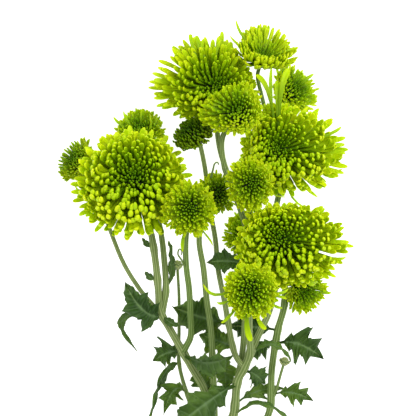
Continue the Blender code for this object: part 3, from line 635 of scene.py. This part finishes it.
def floret_curve(bloom, form, index, draw):
    """Four points of one floret's curve in the bloom's own axes, its row t and its direction out."""
    t = ((index + 0.5) / bloom.florets) ** CROWDING
    angle = index * GOLDEN_ANGLE + draw.gauss(0, TURN_SCATTER + TURN_SCATTER_GAIN * t)
    mean = mean_reach(bloom)
    reach = directed_reach(bloom, angle)
    out = outward(angle)
    out_share, height = spread(form.profile, t + draw.gauss(0, ROW_SCATTER))
    stretch = 1.0 + draw.gauss(STRETCH_MEAN, STRETCH_SCATTER) * t
    if t > LONG_ROWS and draw.random() < LONG_CHANCE:
        stretch += draw.uniform(*LONG_EXTRA)
    root = out * form.core[1][0] * ROOT_SPREAD * t * mean
    root += UP * form.core[3][1] * mean * (ROOT_HEIGHT - ROOT_FALL * t)
    tip = out * min(out_share * stretch, FURTHEST) * reach
    tip += UP * (height + draw.gauss(0, HEIGHT_SCATTER)) * mean
    length = np.linalg.norm(tip - root)
    depart = math.radians(float(spread(form.depart, t)) + draw.gauss(0, DEPART_SCATTER))
    lean = form.lean * out[1] * min(1.0, 2 * t)
    arrive = math.radians(float(spread(form.arrive, t)) - lean + draw.gauss(0, ARRIVE_SCATTER))
    bend = root + (out * math.cos(depart) + UP * math.sin(depart)) * length * BEND_PULL
    hook = tip - (out * math.cos(arrive) + UP * math.sin(arrive)) * length * HOOK_PULL
    hook += np.cross(UP, out) * draw.gauss(0, SIDE_SCATTER) * length
    return np.array([root, bend, hook, tip]), t, out


def share_inside(curve, planes):
    """How much of its length a floret keeps so that it stays behind every plane."""
    share = 1.0
    for normal, offset in planes:
        room = offset - normal @ curve[0]
        furthest = max(normal @ (corner - curve[0]) for corner in curve[1:])
        if furthest > 0 and share * furthest > room:
            share = max(room / furthest, 0.0)
    return share


def build_bloom(bloom, seed, look):
    """A bloom: some hundreds of florets round a small core painted dark as shade, and its strays."""
    form = FORMS[bloom.kind]
    base, facing = bloom_base(bloom)
    mean = mean_reach(bloom)
    axes = Axes(base, facing, mean)
    planes = [(np.array(normal), offset) for normal, offset in cell_planes(bloom)]
    draw = random.Random(seed)
    shape = Shape()
    # The core takes the darkest floret colour: painted shade in the bloom's middle.
    add_lathed(shape, form.core, axes, sides=20, mark=(0.0, 0.0, 0.0), capped=False)
    for index in range(bloom.florets):
        curve, t, out = floret_curve(bloom, form, index, draw)
        curve = axes.origin + axes.turned(curve)
        sag = np.array((0.0, -1.0, 0.0)) * form.droop * mean * t**3
        curve[2] += sag * SAG_AT_HOOK
        curve[3] += sag
        share = share_inside(curve, planes)
        if share < LEAST_SHARE:
            continue
        curve = curve[0] + (curve - curve[0]) * share
        roll = draw.gauss(0, ROLL_SCATTER)
        tangent = axes.turned(np.array((-out[1], out[0], 0.0)))
        side = tangent * math.cos(roll) + axes.turned(out) * math.sin(roll)
        width = float(spread(form.width, t)) * mean * draw.uniform(*WIDTHS) * (1 + share) / 2
        opening = min(1.0, OPENING_MIDDLE + OPENING_GROWTH * t) * draw.uniform(*OPENINGS)
        add_floret(shape, curve, side, width, opening, t, draw.random())
    facing = np.array(facing)
    for row in STRAYS.get(bloom.name, ()):
        add_stray(shape, Stray(*row), axes.origin + facing * STRAY_ROOT * mean, facing, draw)
    shape.finish("bloom_" + bloom.name, look, "florets")


def add_stray(shape, stray, root, facing, draw):
    """A single long floret, through its bend to its tip, which hangs a little lower."""
    bend = np.array(placed((*stray.bend, stray.height)))
    tip = np.array(placed((*stray.tip, stray.height - STRAY_FALL)))
    inside = bend - root
    outside = np.linalg.norm(tip - bend)
    onward = inside / np.linalg.norm(inside) * outside * STRAY_ONWARD
    side = np.cross(facing, inside)
    side /= np.linalg.norm(side)
    onward += side * outside * draw.gauss(0, STRAY_CURL)
    curve = [root, root + inside * STRAY_PULL, bend + onward, tip]
    width = stray.width * STRAY_BREADTH * MM
    swell = STRAY_SWELL if stray.width < BROAD_STRAY else FLORET_SWELL
    chance = draw.uniform(*STRAY_CHANCES)
    # The row 0.48 sets only the stray's colour, including part of the painted shade of a bloom's middle.
    add_floret(shape, curve, side, width, opening=0.95, t=0.48, chance=chance, swell=swell)


# Stems
def tube_rings(path, radii):
    """Rings of corners round a path, at their radii, turned as little as possible along it."""
    rings = []
    across = Vector((1, 0, 0))
    for index, (point, ring_radii) in enumerate(zip(path, radii)):
        along = (path[min(index + 1, len(path) - 1)] - path[max(index - 1, 0)]).normalized()
        across = (across - along * across.dot(along)).normalized()
        up = np.array(along.cross(across))
        angles = np.arange(len(ring_radii))[:, None] / len(ring_radii) * math.tau
        offsets = np.cos(angles) * np.array(across) + np.sin(angles) * up
        rings.append(np.array(point) + offsets * ring_radii[:, None])
    return rings


def add_stem(shape, stem, joints, chance):
    """One ribbed stem, a little swollen where other stems or leaves leave it."""
    path = stem_path(stem)
    ribs = np.cos(np.arange(STEM_SIDES) / STEM_SIDES * math.tau * STEM_RIBS)
    start, end = stem.radii
    radii = []
    for index, point in enumerate(path):
        near = min((point - joint).length for joint in joints)
        swell = 1 + NODE_SWELL * bell(near / (NODE_LENGTH * MM))
        radius = (start + (end - start) * (index / (len(path) - 1))) * STEM_FIT * MM * swell
        radii.append(radius * (1 + RIB_DEPTH * ribs))
    rings = tube_rings(path, radii)
    if stem.name == "main":
        rings[0][:, 1] += END_SLANT * (rings[0][:, 2] - path[0].z)
    for ring in rings:
        ring[:, 2] = np.maximum(ring[:, 2], 0.0)
    marks = np.stack([ribs * 0.5 + 0.5, np.zeros(STEM_SIDES), np.full(STEM_SIDES, chance)], axis=1)
    add_rings(shape, rings, np.tile(marks, (len(rings), 1)))


def add_curl(shape, points, radius=0.80, step=0.8, sides=8, taper=0.5):
    """A thin curled shoot that tapers to its tip."""
    path = smooth_path([placed(point) for point in points], step * MM)
    radii = [np.full(sides, radius * MM * (1 - taper * index / len(path))) for index in range(len(path))]
    add_rings(shape, tube_rings(path, radii), marks=(0.2, 0.0, 0.5))


def cup_wall(form, share):
    """Radius and height of a cup's side, at a share of the way from its foot to its rim."""
    (foot_radius, foot_height), (rim_radius, rim_height) = form.cup
    foot_radius *= CUP_FOOT
    radius = foot_radius + (rim_radius - foot_radius) * math.sin(share * math.pi / 2)
    return radius, foot_height + (rim_height - foot_height) * share


def add_cup(shape, bloom, draw):
    """The cup under a bloom and its rows of small bracts."""
    form = FORMS[bloom.kind]
    axes = Axes(*bloom_base(bloom), mean_reach(bloom))
    profile = [cup_wall(form, share) for share in np.linspace(0, 1, CUP_RINGS)]
    add_lathed(shape, profile, axes, CUP_SIDES, mark=(0.35, 0.0, 0.5))
    for row, (count, lift, size) in enumerate(CUP_BRACTS):
        for index in range(count):
            angle = (index + 0.5 * row) / count * math.tau + draw.gauss(0, BRACT_SCATTER)
            add_bract(shape, axes, form, angle, lift, size * draw.uniform(*BRACT_SIZES), draw.random())


def add_bract(shape, axes, form, angle, lift, size, chance):
    """A small pointed bract that hugs the cup. Its edges are paler than its middle."""
    out = outward(angle)
    side = np.array((-math.sin(angle), math.cos(angle), 0.0))
    radius, height = cup_wall(form, lift)
    start = out * radius + UP * height
    outer = []
    marks = []
    for away, lifted, half_width in BRACT_OUTLINE:
        for column in BRACT_COLUMNS:
            offset = out * (away - BRACT_CURL * column**2) + UP * lifted + side * half_width * column
            outer.append(axes.to_frame(start + offset * size))
            marks.append((0.5 + 0.5 * abs(column), 0.0, chance))
    inner = [point - axes.turned(out) * BRACT_THICKNESS * MM for point in outer]
    shape.add(outer + inner, sheet_faces(len(BRACT_OUTLINE), len(BRACT_COLUMNS)), marks * 2)


def build_stems(seed, look):
    """All stems, their cups with bracts, and the curled shoots."""
    joints = [placed(stem.points[0]) for stem in STEMS] + [placed(leaf.base) for leaf in LEAVES]
    draw = random.Random(seed)
    shape = Shape()
    for stem in STEMS:
        add_stem(shape, stem, joints, draw.random())
    for bloom in BLOOMS:
        add_cup(shape, bloom, draw)
    for points in CURLS:
        add_curl(shape, points)
    shape.finish("branched_stem", look, "stems")


# Leaves
def distance_to_stems(point, paths):
    """How far a point is from the surface of the nearest stem."""
    nearest = math.inf
    for path, (start, end) in paths:
        for index, place in enumerate(path):
            radius = (start + (end - start) * index / (len(path) - 1)) * MM
            nearest = min(nearest, (point - place).length - radius)
    return nearest


def curve_point(points, s):
    """A point of a midrib, at a place s from 0 to 1."""
    root, bend, tip = points
    return root * (1 - s) ** 2 + bend * 2 * s * (1 - s) + tip * s**2


def midrib_start(midrib, paths):
    """How far along its midrib a leaf comes out of its stem."""
    start = 0.0
    while distance_to_stems(curve_point(midrib, start), paths) < -LEAF_SUNK * MM and start < LATEST_START:
        start += START_STEP
    return start


def midrib_frame(midrib, face, s):
    """A point of the midrib, and the directions across the blade and up from it."""
    along = curve_point(midrib, min(s + MIDRIB_STEP, 1)) - curve_point(midrib, max(s - MIDRIB_STEP, 0))
    along = along.normalized()
    side = face.cross(along).normalized()
    return curve_point(midrib, s), side, along.cross(side)


def outline_at(outline, place):
    """Rib root, place along and reach of a leaf's edge, and how far it is between two ribs."""
    position = place * (len(outline) - 1)
    index = min(int(position), len(outline) - 2)
    share = position - index
    eased = share * share * (3 - 2 * share) * 0.5 + share * 0.5
    start = np.array(outline[index])
    end = np.array(outline[index + 1])
    return start + (end - start) * eased, share


def leaf_layer(leaf, midrib, start, phase, layer):
    """Points and marks of a leaf's upper side, for layer 1, or its underside, for layer -1."""
    face = Vector(leaf.face).normalized()
    half_width = leaf.half_width * MM
    points = []
    marks = []
    for station in range(LEAF_STATIONS):
        place = station / (LEAF_STATIONS - 1)
        (root, u, v), panel = outline_at(OUTLINES[leaf.outline], place)
        slanted = ((place * TEETH + phase) % 1) ** TOOTH_SLANT - TOOTH_MIDDLE
        tooth = 1 + LEAF_TEETH * slanted * min(1, v * TOOTH_GROWTH)
        centre, _, normal = midrib_frame(midrib, face, start + (1 - start) * root)
        edge_centre, edge_side, _ = midrib_frame(midrib, face, start + (1 - start) * u)
        reach = max(v * half_width * tooth, (TIP_REACH + BASE_REACH * (1 - place)) * MM)
        lobes = math.sin(math.pi * panel)
        for column in range(-LEAF_ACROSS, LEAF_ACROSS + 1):
            w = abs(column) / LEAF_ACROSS
            edge = edge_centre + edge_side * math.copysign(1, column) * reach
            rise = leaf.fold * reach * w + math.sin(w * math.pi) * lobes * half_width * LEAF_PANEL
            ripple = math.sin(place * WAVES + phase + column * WAVE_SHIFT) * w * w * half_width * LEAF_WAVE
            groove = -GROOVE_DEPTH * MM * bell(w * GROOVE_NARROWNESS) * layer
            point = centre.lerp(edge, w) + normal * (rise + ripple + groove)
            thick = LEAF_THICKNESS * (1.0 - EDGE_THINNING * w)
            thick += RIB_HEIGHTS[layer] * bell(w * RIB_NARROWNESS) * (1 - place)
            points.append(tuple(point + normal * layer * thick * MM / 2))
            vein = max(bell(w * VEIN_NARROWNESS), (1 - lobes) ** 4 * (1 - w) ** 0.5 * SIDE_RIB_TONE)
            marks.append((vein, 0.0 if layer > 0 else 1.0, leaf.tone))
    return points, marks


def build_leaf(leaf, seed, paths, look):
    """A thin bent blade with lobes, fine teeth, a sunken midrib and raised panels between its ribs."""
    midrib = [placed(leaf.base), placed(leaf.bend), placed(leaf.tip)]
    start = midrib_start(midrib, paths)
    phase = random.Random(seed).uniform(0, math.tau)
    upper, upper_marks = leaf_layer(leaf, midrib, start, phase, 1)
    under, under_marks = leaf_layer(leaf, midrib, start, phase, -1)
    faces = [face[::-1] for face in sheet_faces(LEAF_STATIONS, 2 * LEAF_ACROSS + 1)]
    shape = Shape()
    shape.add(upper + under, faces, upper_marks + under_marks)
    shape.finish("leaf_" + leaf.name, look, "leaves")


# Buds
def build_bud(name, path, radius, seed, look):
    """A closed bud: overlapping bracts round a pale top of young florets."""
    facing = (path[-1] - path[-2]).normalized()
    axes = Axes(path[-1], facing, radius * MM)
    draw = random.Random(seed)
    shape = Shape()
    profile = [(math.sin(polar), BUD_MIDDLE + math.cos(polar) * BUD_HALF_HEIGHT) for polar in BUD_POLARS]
    add_lathed(shape, profile, axes, CUP_SIDES, mark=(0.2, 0.0, 0.4))
    for index in range(BUD_FLORETS):
        polar = math.sqrt((index + 0.5) / BUD_FLORETS) * BUD_SPREAD
        out = outward(index * GOLDEN_ANGLE)
        ray = out * math.sin(polar) + UP * math.cos(polar)
        root = UP * BUD_ROOT[0] + ray * BUD_ROOT[1]
        tip = UP * BUD_TIP + ray * draw.uniform(*BUD_ENDS)
        curve = [axes.to_frame(root + (tip - root) * share) for share in (0, 0.4, 0.7, 1)]
        side = axes.turned(np.cross(UP, out))
        add_floret(shape, curve, side, axes.size * BUD_WIDTH, opening=0.3, t=0.9, chance=draw.random())
    cup = Vector(axes.origin + axes.turned(UP) * axes.size * BUD_CUP_HEIGHT)
    cup_axes = Axes(cup, facing, axes.size * BUD_CUP_SIZE)
    for row, (count, lift) in enumerate(BUD_BRACTS):
        for index in range(count):
            angle = (index + 0.5 * row) / count * math.tau
            add_bract(shape, cup_axes, FORMS["button"], angle, lift, BUD_BRACT_SIZE, draw.random())
    shape.finish(name, look, "buds")


# Materials
WHITE = (1.0, 1.0, 1.0)

# A ramp lists places from 0 to 1 and a colour for each: along a floret, over the rows, from groove to rib,
# or with the draw. A tint or patch multiplies a colour. Pairs are for dark and bright leaves, and LEAF_RIBS
# for their two sides.
# Painted shade: both floret ramps darken towards the root, deep in the bloom, the inner one most.
INNER_FLORET = ((0.0, (0.016, 0.038, 0.0)), (0.35, (0.11, 0.21, 0.0)), (0.68, (0.32, 0.48, 0.001)),
                (0.90, (0.54, 0.70, 0.002)), (1.0, (0.62, 0.76, 0.008)))
OUTER_FLORET = ((0.0, (0.10, 0.19, 0.0)), (0.28, (0.31, 0.48, 0.001)), (0.66, (0.46, 0.62, 0.002)),
                (0.92, (0.57, 0.72, 0.004)), (1.0, (0.62, 0.76, 0.010)))
OUTER_ROWS = ((0.0, (0.0, 0.0, 0.0)), (0.45, (0.1, 0.1, 0.1)), (0.8, WHITE), (1.0, WHITE))
# This ramp is painted shade: it darkens a bloom's middle rows, deep in its cup, and leaves the outer rows.
CENTRE_SHADE = ((0.0, (0.16, 0.30, 0.1)), (0.14, (0.26, 0.42, 0.2)), (0.36, (0.68, 0.82, 0.6)),
            (0.62, (1.0, 1.0, 0.9)), (1.0, WHITE))
FLORET_TINT = ((0.0, (0.74, 0.84, 0.6)), (0.5, (0.96, 0.98, 0.9)), (1.0, (1.06, 1.0, 0.9)))
DARK_TINT = (0.26, 0.33, 0.10)
STEM_COLOURS = ((0.0, (0.13, 0.19, 0.050)), (0.55, (0.20, 0.27, 0.09)), (1.0, (0.37, 0.43, 0.19)))
STEM_PATCH = (0.70, 0.76, 0.62)
STEM_TINT = ((0.0, (0.74, 0.86, 0.62)), (1.0, (1.10, 1.06, 1.10)))
LEAF_ABOVE = ((0.036, 0.085, 0.014), (0.110, 0.200, 0.018))
LEAF_BELOW = ((0.095, 0.145, 0.060), (0.160, 0.230, 0.070))
LEAF_RIBS = ((0.13, 0.21, 0.08), (0.20, 0.28, 0.14))
# This ramp is painted light and shade: random patches of the blade made brighter or darker, for its lit and
# shaded folds.
LEAF_LIGHT_AND_SHADE = ((0.0, (0.4, 0.48, 0.4)), (0.42, (0.72, 0.80, 0.66)), (0.6, (1.35, 1.25, 1.15)),
              (1.0, (1.8, 1.55, 1.5)))
LEAF_PATCH = (0.72, 0.78, 0.7)
BUD_COLOURS = ((0.0, (0.10, 0.17, 0.04)), (0.6, (0.22, 0.30, 0.10)), (1.0, (0.50, 0.52, 0.22)))
BUD_TINT = ((0.0, (0.8, 0.85, 0.75)), (1.0, (1.05, 1.02, 1.0)))
# How far red, green and blue light spreads inside
LIGHT_SPREAD = (0.8, 1.0, 0.25)


def fill(node, **values):
    """Sets a node's inputs. An underscore in a name stands for a space."""
    for name, value in values.items():
        node.inputs[name.replace("_", " ")].default_value = value


class Nodes:
    """A short way to build a material's nodes."""

    def __init__(self, name):
        self.material = bpy.data.materials.new(name)
        self.material.use_nodes = True
        self.tree = self.material.node_tree
        self.shader = self.tree.nodes["Principled BSDF"]

    def node(self, kind, **settings):
        """A new node with its settings."""
        made = self.tree.nodes.new(kind)
        for key, value in settings.items():
            setattr(made, key, value)
        return made

    def link(self, output, socket):
        self.tree.links.new(output, socket)

    def marks(self):
        """The three numbers that each vertex holds."""
        attribute = self.node("ShaderNodeAttribute", attribute_name="marks")
        split = self.node("ShaderNodeSeparateColor")
        self.link(attribute.outputs["Color"], split.inputs["Color"])
        return list(split.outputs)

    def ramp(self, value, stops):
        """The colour that the stops give for a value."""
        ramp = self.node("ShaderNodeValToRGB")
        elements = ramp.color_ramp.elements
        while len(elements) < len(stops):
            elements.new(0.5)
        for element, (place, colour) in zip(elements, stops):
            element.position = place
            element.color = (*colour, 1.0)
        self.link(value, ramp.inputs["Fac"])
        return ramp.outputs["Color"]

    def mix(self, factor, first, second, blend="MIX"):
        """Two colours mixed by a factor, each a value or an output."""
        mix = self.node("ShaderNodeMix", data_type="RGBA", blend_type=blend)
        if isinstance(factor, float):
            mix.inputs["Factor"].default_value = factor
        else:
            self.link(factor, mix.inputs["Factor"])
        for socket, value in ((mix.inputs["A"], first), (mix.inputs["B"], second)):
            if isinstance(value, tuple):
                socket.default_value = (*value, 1.0)
            else:
                self.link(value, socket)
        return mix.outputs["Result"]

    def tint(self, colour, by):
        """A colour multiplied by another."""
        return self.mix(1.0, colour, by, "MULTIPLY")

    def noise(self, scale, detail=3.0):
        """A soft noise over the piece."""
        place = self.node("ShaderNodeTexCoord")
        noise = self.node("ShaderNodeTexNoise")
        fill(noise, Scale=scale, Detail=detail)
        self.link(place.outputs["Object"], noise.inputs["Vector"])
        return noise.outputs["Fac"]

    def bump(self, height, distance, strength):
        """A fine relief, with its distance in millimetres."""
        bump = self.node("ShaderNodeBump")
        fill(bump, Distance=distance * MM, Strength=strength)
        self.link(height, bump.inputs["Height"])
        self.link(bump.outputs["Normal"], self.shader.inputs["Normal"])

    def finish(self, colour, roughness, subsurface, scatter=1.5, specular=0.4):
        """Sets the shader, with the scatter in millimetres, and returns the material."""
        self.link(colour, self.shader.inputs["Base Color"])
        fill(self.shader, Roughness=roughness, Specular_IOR_Level=specular, Subsurface_Weight=subsurface,
             Subsurface_Scale=scatter * MM, Subsurface_Radius=LIGHT_SPREAD)
        return self.material


def floret_material(name, dark):
    """Lime florets: yellow-lime at the tip, darker down them and towards the bloom's middle, which is
    painted shade deep in the bloom.
    """
    nodes = Nodes(name)
    place, row, chance = nodes.marks()
    # Each ramp darkens towards the floret's root: painted shade deep in the bloom.
    inner = nodes.ramp(place, INNER_FLORET)
    outer = nodes.ramp(place, OUTER_FLORET)
    colour = nodes.mix(nodes.ramp(row, OUTER_ROWS), inner, outer)
    # Painted shade over the middle rows of the bloom, deep in its cup.
    colour = nodes.tint(colour, nodes.ramp(row, CENTRE_SHADE))
    colour = nodes.tint(colour, nodes.ramp(chance, FLORET_TINT))
    colour = nodes.mix(dark, colour, nodes.tint(colour, DARK_TINT))
    nodes.bump(nodes.noise(900.0), distance=0.12, strength=0.4)
    return nodes.finish(colour, roughness=0.48, subsurface=0.32, scatter=2.2, specular=0.12)


def stem_material():
    """Pale grey-green ribs over greener grooves, with paler bract edges and a fine roughness."""
    nodes = Nodes("stem_green")
    rib, _, chance = nodes.marks()
    colour = nodes.ramp(rib, STEM_COLOURS)
    colour = nodes.mix(nodes.noise(260.0, detail=4.0), colour, nodes.tint(colour, STEM_PATCH))
    colour = nodes.tint(colour, nodes.ramp(chance, STEM_TINT))
    nodes.bump(nodes.noise(1800.0), distance=0.1, strength=0.6)
    return nodes.finish(colour, roughness=0.6, subsurface=0.08, specular=0.18)


def leaf_material():
    """Dark green above with paler ribs, grey-green below; a leaf's tone turns it from dark to bright."""
    nodes = Nodes("leaf_green")
    vein, under, tone = nodes.marks()
    blade = nodes.mix(under, nodes.mix(tone, *LEAF_ABOVE), nodes.mix(tone, *LEAF_BELOW))
    # Painted light and shade: random brighter and darker patches over the blade.
    blade = nodes.tint(blade, nodes.ramp(nodes.noise(65.0, detail=4.0), LEAF_LIGHT_AND_SHADE))
    ribs = nodes.mix(vein, blade, nodes.mix(under, *LEAF_RIBS))
    colour = nodes.mix(nodes.noise(180.0, detail=5.0), nodes.tint(ribs, LEAF_PATCH), ribs)
    nodes.bump(nodes.noise(700.0, detail=5.0), distance=0.3, strength=0.6)
    return nodes.finish(colour, roughness=0.5, subsurface=0.10, scatter=1.0, specular=0.22)


def bud_material():
    """Green buds with pale tips and bract edges."""
    nodes = Nodes("bud_green")
    place, _, chance = nodes.marks()
    colour = nodes.tint(nodes.ramp(place, BUD_COLOURS), nodes.ramp(chance, BUD_TINT))
    nodes.bump(nodes.noise(900.0), distance=0.2, strength=0.5)
    return nodes.finish(colour, roughness=0.5, subsurface=0.15)


# Stage, in metres
FLOOR_HALF = 3.0
FLOOR_HEIGHT = -0.0005
# Lamps: place, width and power
LAMPS = {"key_lamp": ((0.9, 0.7, 1.6), 1.2, 26.0), "fill_lamp": ((-1.1, -0.3, 1.5), 1.6, 12.0)}
LAMP_AIM = Vector((0, 0.08, 0))


def build_stage():
    """A plain white floor, a soft sky and two broad lamps."""
    mesh = bpy.data.meshes.new("floor")
    corners = ((-FLOOR_HALF, -FLOOR_HALF), (FLOOR_HALF, -FLOOR_HALF), (FLOOR_HALF, FLOOR_HALF),
               (-FLOOR_HALF, FLOOR_HALF))
    mesh.from_pydata([(*corner, FLOOR_HEIGHT) for corner in corners], [], [(0, 1, 2, 3)])
    nodes = Nodes("floor_white")
    fill(nodes.shader, Base_Color=(0.80, 0.80, 0.80, 1), Roughness=0.9, Emission_Color=(*WHITE, 1),
         Emission_Strength=0.85)
    mesh.materials.append(nodes.material)
    floor = bpy.data.objects.new("floor", mesh)
    bpy.context.scene.collection.objects.link(floor)
    world = bpy.data.worlds.new("studio")
    world.use_nodes = True
    fill(world.node_tree.nodes["Background"], Color=(*WHITE, 1), Strength=0.62)
    bpy.context.scene.world = world
    for name, (place, size, power) in LAMPS.items():
        light = bpy.data.lights.new(name, "AREA")
        light.shape = "DISK"
        light.size = size
        light.energy = power
        lamp = bpy.data.objects.new(name, light)
        lamp.location = place
        lamp.rotation_euler = (LAMP_AIM - Vector(place)).to_track_quat("-Z", "Y").to_euler()
        bpy.context.scene.collection.objects.link(lamp)


def build_camera():
    """Looks straight down on the spray, framed as the photograph."""
    photo_width = PHOTO_PIXELS * PIXEL
    camera = bpy.data.cameras.new("camera")
    camera.sensor_width = 36.0
    camera.lens = camera.sensor_width * (CAMERA_DISTANCE / (photo_width * MM))
    camera.clip_end = 20.0
    holder = bpy.data.objects.new("camera", camera)
    holder.location = placed((0, photo_width / 2, MIDDLE_HEIGHT)) + Vector((0, 0, CAMERA_DISTANCE))
    bpy.context.scene.collection.objects.link(holder)
    bpy.context.scene.camera = holder


def main():
    """Builds the camera, the stage and all pieces, each with a seed of its own."""
    bpy.context.scene.view_settings.view_transform = "Standard"
    build_camera()
    build_stage()
    looks = {}
    for seed, bloom in enumerate(BLOOMS, start=11):
        if bloom.dark not in looks:
            looks[bloom.dark] = floret_material(f"floret_lime_{len(looks)}", bloom.dark)
        build_bloom(bloom, seed, looks[bloom.dark])
    build_stems(seed=5, look=stem_material())
    paths = [(stem_path(stem), stem.radii) for stem in STEMS]
    leaf_look = leaf_material()
    for seed, leaf in enumerate(LEAVES, start=31):
        build_leaf(leaf, seed, paths, leaf_look)
    bud_look = bud_material()
    stems = {stem.name: stem for stem in STEMS}
    for seed, (name, (stem, radius)) in enumerate(BUDS.items(), start=71):
        build_bud(name, stem_path(stems[stem]), radius, seed, bud_look)


main()
